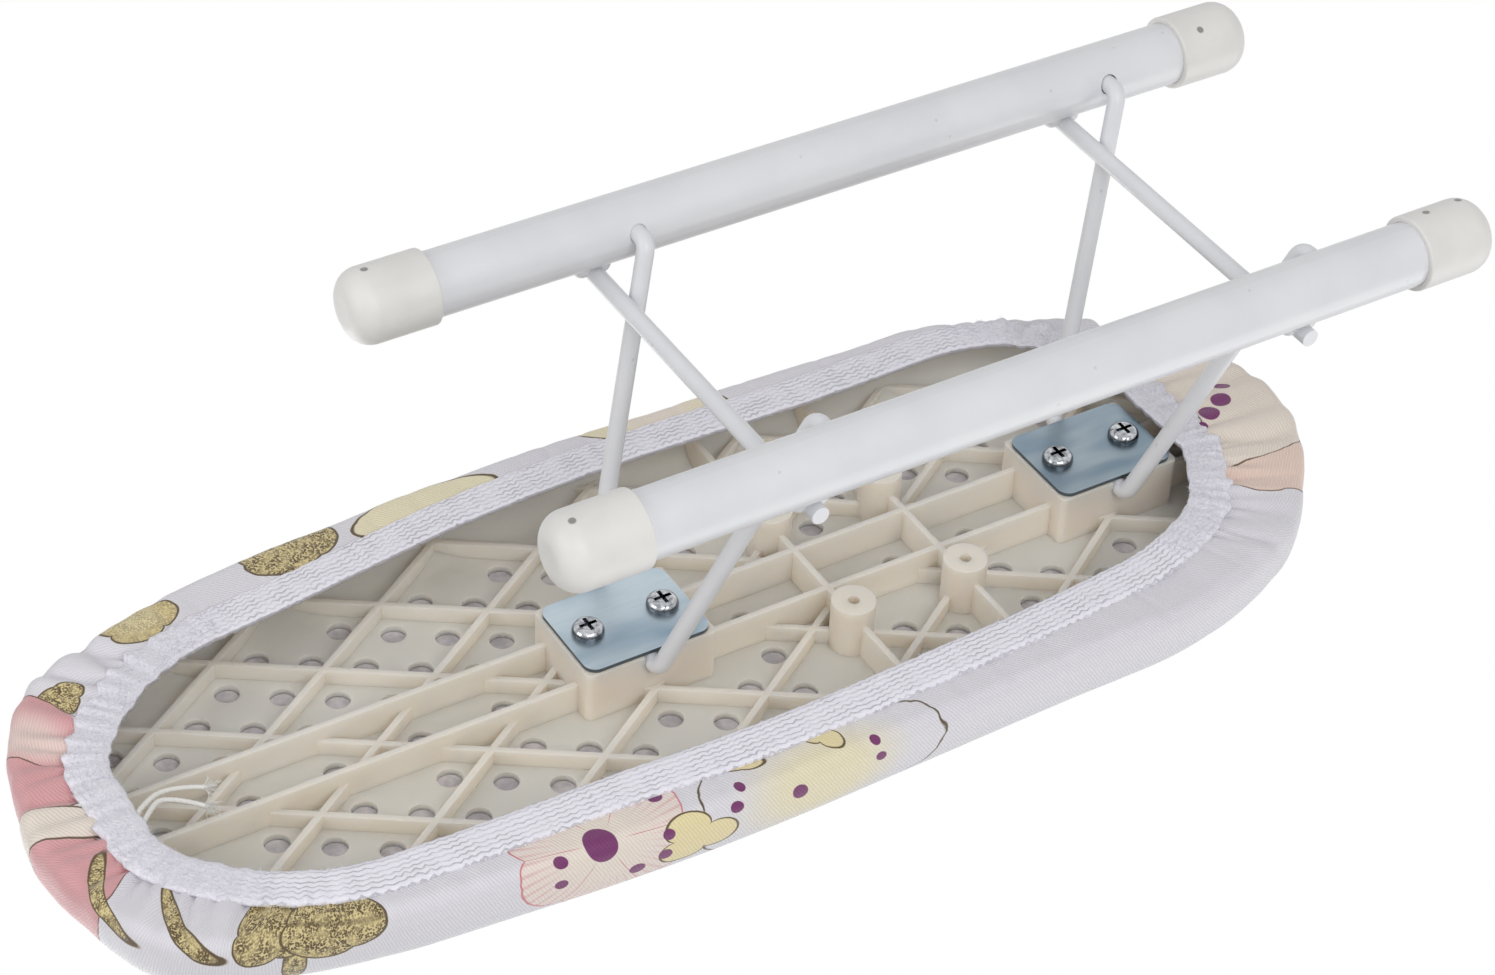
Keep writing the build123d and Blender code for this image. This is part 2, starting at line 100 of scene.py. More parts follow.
HEM_STEPS = 22              # rows across the under side of the hem band
NOSE_SLANT = 0.32           # the fuzzy part of the nose hem ends on a slant, x by this share of y
PILE_FROM, PILE_TO = -128, 98           # no loose pile between these x
FUZZ_NOSE = (-0.122, -0.144)            # x from which, and by which fully, the knit is fuzzy, metres
FUZZ_HEEL = (0.092, 0.112)
FIBRE_RADIUS = 0.00008
FRAY_RADIUS = 0.00017
FRAY_FIBRES = 42

CORD_ROUTES = {
    "drawstring_long": [(-164.0, 21.0, 82.89), (-164.2, 12.2, 82.89), (-157.9, 5.4, 83.09),
                        (-149.5, 0.8, 84.29), (-141.2, 5.0, 84.89)],
    "drawstring_short": [(-161.7, 20.5, 82.89), (-161.9, 13.1, 82.89), (-157.1, 8.1, 83.09),
                         (-151.2, 3.0, 84.09), (-143.6, 11.0, 84.79)],
}

# ------------------------------------------------------------ marks, camera and lamps, metres
GATE_MARKS = [(-0.07325, 0.04982, 0.0000), (-0.0720, -0.05023, 0.0001), (0.1700, 0.04648, 0.0003),
              (0.15975, 0.04703, 0.0002), (0.16075, -0.04413, 0.0014)]
CAMERA_AT = (-0.36540, 0.56720, -0.50385)
CAMERA_RIGHT = (0.855753, 0.515855, -0.039751)
CAMERA_AHEAD = (0.418731, -0.645405, 0.638841)
# Name, place, side, the setting that gives its power, share of that setting
LAMPS = [("key lamp", (-0.20, 1.10, -0.98), 1.1, "key", 1.0),
         ("side lamp", (-1.2, -0.1, -0.45), 0.7, "key", 0.35),
         ("top lamp", (-0.5, -0.7, 1.5), 1.2, "top", 1.0),
         ("top fill", (0.9, 0.9, 1.1), 1.0, "top", 0.65)]
LAMPS_AIM = (0, 0, 0.06)


def rounded_outline(corners, step):
    """Closed outline mirrored across the X axis, its corners rounded by arcs; (points, outward normals)."""
    full = np.array(list(corners) + [(x, -y, radius) for x, y, radius in reversed(corners)], float)
    plan, radii = full[:, :2], full[:, 2]
    into = plan - np.roll(plan, 1, axis=0)
    into /= np.linalg.norm(into, axis=1)[:, None]
    out = np.roll(into, -1, axis=0)
    turns = np.arccos(np.clip((into * out).sum(axis=1), -1, 1))
    reach = (radii * np.tan(turns / 2))[:, None]
    first_normals = np.column_stack([-into[:, 1], into[:, 0]])
    centres = plan - into * reach - first_normals * radii[:, None]
    begins = plan + out * reach
    ends = np.roll(plan - into * reach, -1, axis=0)
    points, normals = [], []
    for i, (centre, radius, turn, first) in enumerate(zip(centres, radii, turns, first_normals)):
        steps = max(4, int(radius * turn / step))
        start = math.atan2(first[1], first[0])
        for k in range(steps + 1):
            a = start - turn * k / steps
            normal = np.array((math.cos(a), math.sin(a)))
            points.append(centre + radius * normal)
            normals.append(normal)
        run = int(np.linalg.norm(ends[i] - begins[i]) / step)
        for k in range(1, max(1, run)):
            points.append(begins[i] + (ends[i] - begins[i]) * k / run)
            normals.append(np.array((-out[i][1], out[i][0])))
    return np.array(points), np.array(normals)


def leaned(outline, front, back):
    """Outline with its front and back halves shifted sideways, blending across the middle line."""
    share = smoothstep(-LEAN_BLEND, LEAN_BLEND, outline[:, 1])
    ahead = np.interp(outline[:, 0], *zip(*front))
    behind = np.interp(outline[:, 0], *zip(*back))
    return np.column_stack([outline[:, 0], outline[:, 1] + ahead * share + behind * (1 - share)])


def reach_to(outline, starts, directions):
    """Distance from each start, along its direction, to a closed outline round it."""
    a = outline
    b = np.roll(outline, -1, axis=0)
    edge = b - a
    result = np.zeros(len(starts))
    for i, (s, d) in enumerate(zip(starts, directions)):
        cross = edge[:, 0] * d[1] - edge[:, 1] * d[0]
        cross = np.where(np.abs(cross) < 1e-12, 1e-12, cross)
        gap = a - s
        along = (edge[:, 0] * gap[:, 1] - edge[:, 1] * gap[:, 0]) / cross
        across = (d[0] * gap[:, 1] - d[1] * gap[:, 0]) / cross
        hit = (across > -1e-6) & (across < 1 + 1e-6) & (along > 0)
        result[i] = along[hit].min() if hit.any() else 0
    return result


def steps_round(points):
    """Distance from each point of a closed line to the next."""
    return np.linalg.norm(np.roll(points, -1, axis=0) - points, axis=1)


def rays_round_the_hem(count, askew=True):
    """Evenly spread rays from the hem's inner edge to the board's edge.

    Gives each ray's foot, direction, length and distance round, the whole way round, and the run round the hem.
    """
    board, _ = rounded_outline(BOARD_CORNERS, 1.0)
    foot, normal = rounded_outline(HEM_CORNERS, 0.4)
    if askew:
        board = leaned(board, FRONT_LEAN, BACK_LEAN)
        foot = leaned(foot, HEM_LEAN, HEM_LEAN)
        swell = np.exp(-((board[:, 1] - NOSE_BULGE_Y) / NOSE_BULGE_HALF) ** 2)
        board[:, 0] -= NOSE_BULGE * swell * smoothstep(*NOSE_BULGE_X, board[:, 0])
    tip = foot + normal * reach_to(board, foot, normal)[:, None]
    walk = np.concatenate([[0], np.cumsum(0.5 * steps_round(foot) + 0.5 * steps_round(tip))])
    even = np.linspace(0, walk[-1], count, endpoint=False)
    both = np.hstack([foot, normal])
    spread = np.stack([np.interp(even, walk, [*column, column[0]]) for column in both.T], 1)
    foot, normal = spread[:, :2], spread[:, 2:]
    window = np.hanning(15)
    window /= window.sum()
    padded = np.concatenate([normal[-7:], normal, normal[:7]])
    normal = np.stack([np.convolve(column, window, "valid") for column in padded.T], 1)
    normal /= np.linalg.norm(normal, axis=1)[:, None]
    length = reach_to(board, foot, normal)
    round_hem = np.concatenate([[0], np.cumsum(steps_round(foot))])
    return foot, normal, length, even, walk[-1], round_hem


def smoothstep(low, high, x):
    t = np.clip((x - low) / (high - low), 0, 1)
    return t * t * (3 - 2 * t)


def ripple(along, total, wavelengths, seed):
    """Smooth closed random wave between about -1 and 1."""
    source = np.random.default_rng(seed)
    value = np.zeros_like(along)
    weight = 0
    for wavelength in wavelengths:
        for spread in (0.8, 1.0, 1.27):
            turns = max(1, round(total / (wavelength * spread)))
            size = source.uniform(0.6, 1.0)
            value += size * np.sin(2 * math.pi * turns * along / total + source.uniform(0, 6.28))
            weight += size * size
    return value / math.sqrt(weight * 2) * 1.4


def mesh_of(name, points, faces):
    """New smooth mesh."""
    mesh = bpy.data.meshes.new(name)
    mesh.from_pydata([tuple(p) for p in points], [], faces)
    mesh.polygons.foreach_set("use_smooth", [True] * len(mesh.polygons))
    mesh.update()
    return mesh


def ring_mesh(name, rows, uv_rows, close_section=False):
    """Mesh of quads from rows of points that run round the board; each row has the same number of points."""
    count, total = len(rows[0]), len(rows)
    faces, uv = [], []
    for low in range(total if close_section else total - 1):
        high = (low + 1) % total
        for i in range(count):
            j = (i + 1) % count
            faces.append((low * count + i, low * count + j, high * count + j, high * count + i))
            uv += [uv_rows[low][i], uv_rows[low][i + 1], uv_rows[high][i + 1], uv_rows[high][i]]
    mesh = mesh_of(name, np.concatenate(rows) * MM, faces)
    mesh.uv_layers.new(name="flat").data.foreach_set("uv", np.array(uv, float).ravel())
    mesh.validate()
    mesh.update()
    return mesh


def place(mesh, material, finish, *nodes):
    """A piece of the board, named after its mesh; the solids it stands for are hidden."""
    mesh.materials.append(material)
    piece = bpy.data.objects.new(mesh.name, mesh)
    bpy.context.scene.collection.objects.link(piece)
    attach(piece, "board")
    if nodes:
        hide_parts(*nodes)
    return piece


def end_weight(foot, normal, length):
    """How strongly the cloth is drawn together: 1 round the nose and heel, small along the sides."""
    x = (foot + normal * length[:, None])[:, 0]
    drawn = np.maximum(smoothstep(*NOSE_GATHER, x), smoothstep(*HEEL_GATHER, x))
    return SIDE_GATHER + (1 - SIDE_GATHER) * drawn


def creases(along, total, strength, seed):
    """List of folds: place round the board, depth, half width, how far each runs out from the hem, slant."""
    source = random.Random(seed)
    folds = []
    s = 0.0
    while s < total:
        k = int(s / total * len(along)) % len(along)
        power = strength[k]
        folds.append((s, source.uniform(0.35, 1.0) * power, source.uniform(0.8, 1.7),
                      source.uniform(0.35, 1.0), source.uniform(-0.25, 0.25)))
        s += source.uniform(3.0, 7.5) if power > 0.4 else source.uniform(7.0, 16.0)
    return folds


def flat_of(spots):
    """Flat places of a row, closed round the board, in metres."""
    return np.concatenate([spots[:, :2], spots[:1, :2]]) * MM


def cloth_rows(settings):
    """Rows of the cover from the hem over the edge to the middle of the ironing face, and their flat places."""
    foot, normal, length, along, total, _ = rays_round_the_hem(settings.rays)
    strength = end_weight(foot, normal, length)
    folds = creases(along, total, strength, settings.seed)
    drawn = ripple(along, total, (9.0, 14.0), settings.seed + 1)
    slack = ripple(along, total, (38.0, 61.0), settings.seed + 2)
    rows, flats = [], []
    arc_top = TOP_ROUND * math.pi / 2
    arc_under = UNDER_ROUND * math.pi / 2
    side = (COVER_TOP - TOP_ROUND) - (COVER_UNDER + UNDER_ROUND)
    under_run = arc_top + side + arc_under
    edge = length - TOP_ROUND

    def add(r, z, lean_r, lean_z, run, drive, off_hem=None):
        """One row.

        r is the distance out from the hem and z the height, lean_r and lean_z the way that folds stand out,
        run the cloth from here to the top, drive the strength of folds, off_hem the cloth from the hem to here.
        """
        off_hem = under_run - run + length - UNDER_ROUND - HEM_WIDTH if off_hem is None else off_hem
        lift = np.zeros(len(foot))
        for place_at, depth, half, run_out, slant in folds:
            centre = place_at + slant * off_hem
            gap = np.abs((along - centre + total / 2) % total - total / 2)
            width = half * (1 + 0.05 * off_hem)
            fade = np.exp(-off_hem / (run_out * FOLD_FADE))
            near = gap < width * 4
            lift[near] -= (depth * fade * np.exp(-(gap / width) ** 2))[near]
        lift = lift * settings.fold_depth / MM + GATHER_WAVE * strength * drawn + SLACK_WAVE * slack
        lift = lift * drive + 0.25 * drive * strength
        spot = foot + normal * (r + lift * lean_r)[:, None]
        rows.append(np.column_stack([spot, z + lift * lean_z]))
        flats.append(flat_of(foot + normal * (edge + run)[:, None]))

    tuck = length - UNDER_ROUND - (HEM_WIDTH - 2.2)
    hidden = np.full(len(foot), HEM_WIDTH - HEM_TUCK)
    add(hidden, COVER_UNDER + 0.75, 0, -0.25, under_run + tuck, 0.5, 0 * length)
    for k in range(13):
        t = k / 12
        start = HEM_WIDTH - 0.3
        r = start + (length - UNDER_ROUND - start) * t
        off = r - start
        sink = 0.35 * np.exp(-off / 1.2)
        add(r, COVER_UNDER + sink, 0, -1.0, under_run + (length - UNDER_ROUND - r), 1.0, off)
    for k in range(1, 10):
        a = math.pi / 2 * k / 9
        r = length - UNDER_ROUND + UNDER_ROUND * math.sin(a)
        z = COVER_UNDER + UNDER_ROUND - UNDER_ROUND * math.cos(a)
        add(r, z, math.sin(a), -math.cos(a), under_run - UNDER_ROUND * a, 1 - 0.45 * k / 9)
    for k in range(1, 5):
        t = k / 5
        belly = 0.15 * math.sin(math.pi * t)
        z = COVER_UNDER + UNDER_ROUND + side * t
        add(length + belly, z, 1, 0, arc_top + side * (1 - t), 0.5 - 0.3 * t)
    for k in range(0, 15):
        a = math.pi / 2 * k / 14
        r = length - TOP_ROUND + TOP_ROUND * math.cos(a)
        z = COVER_TOP - TOP_ROUND + TOP_ROUND * math.sin(a)
        add(r, z, math.cos(a), math.sin(a), arc_top - TOP_ROUND * a, 0.18 * (1 - k / 14))
    spine = np.column_stack([np.clip(foot[:, 0], SPINE_FROM, SPINE_TO), np.zeros(len(foot))])
    rim = foot + normal * (length - TOP_ROUND)[:, None]
    for k in range(1, 25):
        t = k / 24
        spot = rim + (spine - rim) * t
        soft = 0.10 * np.sin(spot[:, 0] * 0.11 + 1.3) * np.sin(spot[:, 1] * 0.09 + 0.4)
        soft = soft + 0.07 * np.sin(spot[:, 0] * 0.23 + spot[:, 1] * 0.17) - 0.12
        height = COVER_TOP + soft * smoothstep(0.0, 0.12, t)
        rows.append(np.column_stack([spot, height]))
        flats.append(flat_of(spot))
    return rows, flats


def hem_rows(settings):
    """Closed section of the elastic hem, swept round the opening; flat coordinates are run round and width."""
    foot, normal, length, along, total, round_hem = rays_round_the_hem(settings.rays)
    strength = end_weight(foot, normal, length)
    gather = ripple(along, total, (3.6, 5.2), settings.seed + 5)
    wander = ripple(along, total, (8.0, 17.0), settings.seed + 6)
    twist = ripple(along, total, (6.5, 11.0), settings.seed + 7)
    inner_edge = 0.22 * wander * strength + 0.07 * gather
    rows, flats = [], []

    def add(r, z, run):
        rows.append(np.column_stack([foot + normal * r[:, None], z]))
        flats.append(np.column_stack([round_hem, np.full(len(round_hem), run)]) * MM)

    for k in range(HEM_STEPS + 1):
        t = k / HEM_STEPS
        crown = 0.55 * (1 - (2 * t - 1) ** 6)
        ridge = 0.10 * math.cos(2 * math.pi * 6.5 * t) * (1 - 0.8 * strength)
        r = HEM_WIDTH * t + inner_edge * (1 - t) + (0.5 * twist + 0.5 * wander) * strength * t
        pleat = (0.30 * strength + 0.03) * (gather * t + 0.8 * twist * (0.4 + 0.6 * t))
        add(r, HEM_UNDER + 0.55 - crown - ridge - pleat, HEM_WIDTH * t)
    for k in range(7):
        t = 1 - k / 6
        r = 0.2 + (HEM_WIDTH - 0.4) * t + inner_edge * (1 - t)
        add(r, HEM_OVER - 0.5 * (2 * t - 1) ** 4 - 0.2 * gather * strength, HEM_WIDTH * (2 - t))
    return rows, flats


def foam_rows():
    """Foam laid over the tray: under side from the middle out and down the edge, then back over the top."""
    foot, normal, length, *_ = rays_round_the_hem(360, askew=False)
    spine = np.column_stack([np.clip(foot[:, 0], SPINE_FROM, SPINE_TO), np.zeros(len(foot))])
    outer = length - FOAM_UNDER_CLOTH
    inner = length - TRAY_INSET + 0.25
    outer_round = TOP_ROUND - FOAM_UNDER_CLOTH
    under_side = TRAY_TOP + FOAM_OFF_TRAY
    hem_level = FOAM_TOP - FOAM_SKIRT
    rows = []

    def flat_part(edge, rounding, height, shares):
        rim = foot + normal * (edge - rounding)[:, None]
        for share in shares:
            rows.append(np.column_stack([spine + (rim - spine) * share, np.full(len(foot), height)]))

    def curved_part(edge, rounding, top, turns):
        for turn in turns:
            r = edge - rounding + rounding * math.cos(turn)
            height = max(hem_level, top - rounding + rounding * math.sin(turn))
            rows.append(np.column_stack([foot + normal * r[:, None], np.full(len(foot), height)]))

    quarter = [math.pi / 2 * k / 10 for k in range(11)]
    flat_part(inner, TRAY_ROUND, under_side, [k / 12 for k in range(12)])
    curved_part(inner, TRAY_ROUND, under_side, [t for t in reversed(quarter) if t > 0.35])
    curved_part(outer, outer_round, FOAM_TOP, [t for t in quarter if t > 0.25])
    flat_part(outer, outer_round, FOAM_TOP, [1 - k / 12 for k in range(1, 13)])
    return rows, [flat_of(row) for row in rows]


def welded(mesh):
    """The mesh with the points joined that fall together along the middle of a face."""
    work = bmesh.new()
    work.from_mesh(mesh)
    bmesh.ops.remove_doubles(work, verts=work.verts, dist=0.00002)
    bmesh.ops.recalc_face_normals(work, faces=work.faces)
    work.to_mesh(mesh)
    work.free()
    mesh.update()
    return mesh


def route_line(points):
    """Smooth line along a cord's route, in metres."""
    data = bpy.data.curves.new("route", "CURVE")
    data.dimensions = "3D"
    data.resolution_u = 24
    spline = data.splines.new("NURBS")
    spline.points.add(len(points) - 1)
    for target, p in zip(spline.points, points):
        target.co = (p[0] * MM, p[1] * MM, p[2] * MM, 1)
    spline.order_u = 3
    spline.use_endpoint_u = True
    carrier = bpy.data.objects.new("route", data)
    bpy.context.scene.collection.objects.link(carrier)
    bpy.context.view_layer.update()
    mesh = bpy.data.meshes.new_from_object(carrier)
    line = [v.co.copy() for v in mesh.vertices]
    bpy.data.objects.remove(carrier)
    bpy.data.meshes.remove(mesh)
    return line


def frames_along(line):
    """Tangent and two side directions at each point, carried along without twisting."""
    frames = []
    side = None
    for i, p in enumerate(line):
        ahead = line[min(i + 1, len(line) - 1)]
        behind = line[max(i - 1, 0)]
        tangent = (ahead - behind).normalized()
        if side is None:
            side = tangent.cross(Vector((0, 0, 1))).normalized()
        side = (side - tangent * side.dot(tangent)).normalized()
        frames.append((p, tangent, side, tangent.cross(side)))
    return frames


def add_tube(points, faces, line, radius, sides, ply=0, lay=0.0, taper=False):
    """Adds a tube along a line; with ply it has that many twisted yarns, one turn every lay metres."""
    run = 0.0
    base = len(points)
    frames = frames_along(line)
    for i, (p, _, a, b) in enumerate(frames):
        if i:
            run += (line[i] - line[i - 1]).length
        size = radius * (1 - 0.7 * i / (len(line) - 1)) if taper else radius
        for k in range(sides):
            angle = 2 * math.pi * k / sides
            swell = 1.0
            if ply:
                twist = ply * (angle - 2 * math.pi * run / lay) / 2
                swell = 0.78 + 0.22 * abs(math.cos(twist))
            points.append(p + (a * math.cos(angle) + b * math.sin(angle)) * size * swell)
    for i in range(len(line) - 1):
        for k in range(sides):
            n = (k + 1) % sides
            faces.append((base + i * sides + k, base + i * sides + n,
                          base + (i + 1) * sides + n, base + (i + 1) * sides + k))
    faces.append(tuple(base + k for k in reversed(range(sides))))
    last = base + (len(line) - 1) * sides
    faces.append(tuple(last + k for k in range(sides)))


def fibre(start, way, curl, size, stops=(0, 0.3, 0.6, 0.8, 1.0)):
    """Line of a short fibre that curls off its way."""
    return [start + way * size * t + curl * size * t * t for t in stops]


# ------------------------------------------------------------ materials
class Value:
    """A socket of a node tree that can be reckoned with: each sign adds a Math node."""

    def __init__(self, net, socket):
        self.net, self.socket = net, socket

    def __add__(self, other):
        return self.net.math("ADD", self, other)

    def __sub__(self, other):
        return self.net.math("SUBTRACT", self, other)

    def __rsub__(self, other):
        return self.net.math("SUBTRACT", other, self)

    def __mul__(self, other):
        return self.net.math("MULTIPLY", self, other)

    def __truediv__(self, other):
        return self.net.math("DIVIDE", self, other)

    def __abs__(self):
        return self.net.math("ABSOLUTE", self)


class Net:
    """Short ways to add nodes to one tree."""

    def __init__(self, tree):
        self.tree = tree

    def node(self, kind, **values):
        made = self.tree.nodes.new(kind)
        for key, value in values.items():
            setattr(made, key, value)
        return made

    def feed(self, socket, value):
        """Links a socket to a value, or sets it to one."""
        if isinstance(value, Value):
            value = value.socket
        if isinstance(value, bpy.types.NodeSocket):
            self.tree.links.new(value, socket)
        else:
            socket.default_value = value

    def build(self, kind, given, out=0, **values):
        """New node, its inputs fed by number or name; one of its outputs."""
        made = self.node(kind, **values)
        for key, value in dict(given).items():
            self.feed(made.inputs[key], value)
        return Value(self, made.outputs[out])

    def math(self, operation, a, b=0.0):
        return self.build("ShaderNodeMath", enumerate((a, b)), operation=operation)

    def larger(self, a, b):
        return self.math("MAXIMUM", a, b)

    def off_row(self, value):
        """Distance from the middle between two whole numbers."""
        return abs(self.math("FRACT", value) - 0.5)

    def vector(self, operation, a, b=(0, 0, 0)):
        out = "Value" if operation in ("LENGTH", "DISTANCE") else "Vector"
        return self.build("ShaderNodeVectorMath", enumerate((a, b)), out, operation=operation)

    def about(self, at, centre, turn):
        """Place as seen from a centre, turned round Z."""
        given = {"Vector": self.vector("SUBTRACT", at, centre), "Angle": turn}
        return self.build("ShaderNodeVectorRotate", given, rotation_type="Z_AXIS")

    def mix(self, share, a, b, blend="MIX"):
        return self.build("ShaderNodeMix", {0: share, 6: a, 7: b}, 2,
                          data_type="RGBA", blend_type=blend, clamp_factor=True)

    def span(self, value, low, high, to_low=0.0, to_high=1.0):
        given = enumerate((value, low, high, to_low, to_high))
        return self.build("ShaderNodeMapRange", given, interpolation_type="SMOOTHSTEP")

    def noise(self, at, scale, detail=2.0, rough=0.5, distort=0.0):
        given = {"Vector": at, "Scale": scale, "Detail": detail, "Roughness": rough, "Distortion": distort}
        return self.build("ShaderNodeTexNoise", given, "Fac")

    def cells(self, at, scale):
        return self.build("ShaderNodeTexVoronoi", {"Vector": at, "Scale": scale}, "Distance")

    def split(self, at):
        made = self.node("ShaderNodeSeparateXYZ")
        self.feed(made.inputs[0], at)
        return [Value(self, socket) for socket in made.outputs]

    def join(self, x, y, z=0.0):
        return self.build("ShaderNodeCombineXYZ", enumerate((x, y, z)))

    def grey(self, value):
        return self.join(value, value, value)

    def spot(self):
        """Place in the piece, metres."""
        return Value(self, self.node("ShaderNodeTexCoord").outputs["Object"])

    def level(self):
        """How level a face lies: 1 facing straight up or down, 0 upright."""
        return abs(self.split(self.node("ShaderNodeTexCoord").outputs["Normal"])[2])

    def flat(self):
        """Place on the flat cloth, metres."""
        return Value(self, self.node("ShaderNodeUVMap", uv_map="flat").outputs[0])

    def place(self, group, **values):
        """A shared effect with its inputs fed; its outputs by name."""
        made = self.node("ShaderNodeGroup", node_tree=group)
        for key, value in values.items():
            self.feed(made.inputs[key], value)
        return {socket.name: Value(self, socket) for socket in made.outputs}

    def dress(self, shader, colour, rough=None, bump=None):
        """Feeds a shader's colour, its roughness and its bump (height, distance, strength)."""
        self.feed(shader.inputs["Base Color"], colour)
        if rough is not None:
            self.feed(shader.inputs["Roughness"], rough)
        if bump is not None:
            given = zip(("Height", "Distance", "Strength"), bump)
            self.feed(shader.inputs["Normal"], self.build("ShaderNodeBump", given))


def effect(name, inputs, outputs):
    """New shader node group, its socket names listed by kind; (group, net, inputs by name, output sockets)."""
    group = bpy.data.node_groups.new(name, "ShaderNodeTree")
    for way, sockets in (("INPUT", inputs), ("OUTPUT", outputs)):
        for kind, labels in sockets.items():
            for label in labels.split():
                group.interface.new_socket(name=label, in_out=way, socket_type="NodeSocket" + kind)
    net = Net(group)
    given = {socket.name: Value(net, socket) for socket in net.node("NodeGroupInput").outputs}
    return group, net, given, net.node("NodeGroupOutput").inputs


def finish_of(name, colour, roughness, metallic=0.0, **plain):
    """New material with one Principled BSDF; (material, net, shader)."""
    material = bpy.data.materials.new(name)
    material.use_nodes = True
    shader = material.node_tree.nodes["Principled BSDF"]
    plain.update(Base_Color=(*colour, 1), Roughness=roughness, Metallic=metallic)
    for key, value in plain.items():
        shader.inputs[key.replace("_", " ")].default_value = value
    return material, Net(material.node_tree), shader


def tone(*display):
    """Linear colour of a display colour given in 0 to 255."""
    shares = [value / 255 for value in display]
    return tuple(s / 12.92 if s <= 0.04045 else ((s + 0.055) / 1.055) ** 2.4 for s in shares)


def rgba(*display):
    return (*tone(*display), 1.0)


def twill_effect():
    """Fine diagonal weave: how high the thread stands and how much light the hollows lose."""
    group, net, given, out = effect(
        "twill weave", {"Vector": "Vector", "Float": "Pitch"}, {"Float": "Height Shade"})
    cloth = net.vector("DIVIDE", given["Vector"], net.join(given["Pitch"], given["Pitch"], 1.0))
    x, y, _ = net.split(cloth)
    lean = x + y * 0.62 + net.noise(cloth, 0.35) * 1.1
    thread = net.span(net.off_row(lean), 0.02, 0.34)
    net.feed(out["Height"], thread * 0.8 + net.off_row(y * 2.0) * 0.4)
    net.feed(out["Shade"], thread * 0.30 + 0.70)
    return group


def knit_effect():
    """Elastic band: rows of small zigzag stitches along it, lost in loose pile where the band is fuzzy."""
    group, net, given, out = effect(
        "knitted band", {"Vector": "Vector", "Float": "Stitch Row Fuzz"}, {"Float": "Height Shade"})
    at, fuzz = given["Vector"], given["Fuzz"]
    x, y, _ = net.split(at)
    loose = net.noise(at, 520.0, 3.0, 0.6) - 0.5
    drift = net.noise(at, 110.0, 1.0) - 0.5
    zigzag = net.math("PINGPONG", x / given["Stitch"] + drift * 1.6, 0.5)
    row = y / given["Row"] + zigzag * 0.70 + (loose * 0.75 + drift * 1.1)
    worn = net.span(net.noise(at, 170.0, 3.0, 0.6), 0.38, 0.62)
    groove = net.span(net.off_row(row), 0.31, 0.45) * (worn * 0.6 + 0.4) * (1.0 - fuzz * 0.8)
    pile = net.noise(at, 1500.0, 3.0, 0.7)
    grain = net.noise(at, 3200.0, 2.0, 0.7)
    net.feed(out["Height"], 1.0 - groove + (pile * (fuzz * 2.2 + 0.35) + grain * 0.4))
    net.feed(out["Shade"], 1.0 - groove * 0.30 + (pile - 0.5) * (fuzz * 0.45 + 0.14))
    return group


def motif_effect():
    """One printed flower or leaf: a lobed outline with a drawn line, two colours, veins and stipple."""
    group, net, given, out = effect(
        "printed motif",
        {"Vector": "Cloth Centre", "Color": "Ground Rim Heart Line",
         "Float": "Reach Stretch Turn Petals Depth Stipple Seams Rib Speckle Wobble"},
        {"Color": "Colour"})
    x, y, _ = net.split(net.about(given["Cloth"], given["Centre"], given["Turn"]))
    long_x = x / given["Stretch"]
    angle = net.math("ARCTAN2", y, long_x)
    radius = net.vector("LENGTH", net.join(long_x, y))
    lobe = net.math("POWER", abs(net.math("COSINE", angle * (given["Petals"] * 0.5))), 0.7)
    edge = given["Depth"] * (lobe - 0.7) + 1.0 + given["Wobble"] * 0.11
    inside = edge * given["Reach"] - radius
    share = radius / given["Reach"]
    colour = net.mix(net.span(share, 0.25, 0.85), given["Heart"], given["Rim"])
    hatch = net.span(net.math("SINE", angle * 46.0), 0.2, 0.9) * net.span(share, 0.35, 0.95)
    colour = net.mix(hatch * (given["Seams"] * 0.22), colour, given["Line"])
    colour = net.mix(given["Stipple"] * given["Speckle"], colour, given["Line"])
    seam = (1.0 - net.span(lobe * radius, 0.35, 1.0)) * given["Seams"] * net.span(share, 0.2, 0.45)
    rib = (1.0 - net.span(abs(y), 0.35, 0.8)) * given["Rib"]
    drawn = 1.0 - net.span(abs(inside), 0.12, 0.36)
    colour = net.mix(net.larger(drawn, net.larger(seam, rib)), colour, given["Line"])
    cover = net.larger(net.span(inside, 0.0, 0.25), drawn)
    net.feed(out["Colour"], net.mix(cover, given["Ground"], colour))
    return group


def dot_effect():
    """One slightly oval dot of dye."""
    group, net, given, out = effect(
        "dye dot", {"Vector": "Cloth Centre", "Color": "Ground Dye", "Float": "Size Turn"}, {"Color": "Colour"})
    local = net.about(given["Cloth"], given["Centre"], given["Turn"])
    gap = net.vector("LENGTH", net.vector("MULTIPLY", local, (1.0, 1.22, 1.0))) - given["Size"]
    net.feed(out["Colour"], net.mix(net.span(gap, 0.12, -0.12), given["Ground"], given["Dye"]))
    return group


def surface_effect():
    """Small unevenness of a coated or moulded surface: fine height, broad tone and scattered specks."""
    group, net, given, out = effect(
        "surface unevenness", {"Vector": "Vector", "Float": "Fine Broad Specks"},
        {"Float": "Height Tone Speck"})
    at = given["Vector"]
    net.feed(out["Height"], net.noise(at, given["Fine"]))
    net.feed(out["Tone"], net.noise(at, given["Broad"], 3.0, 0.55))
    net.feed(out["Speck"], net.span(net.cells(at, given["Specks"]), 0.075, 0.03))
    return group


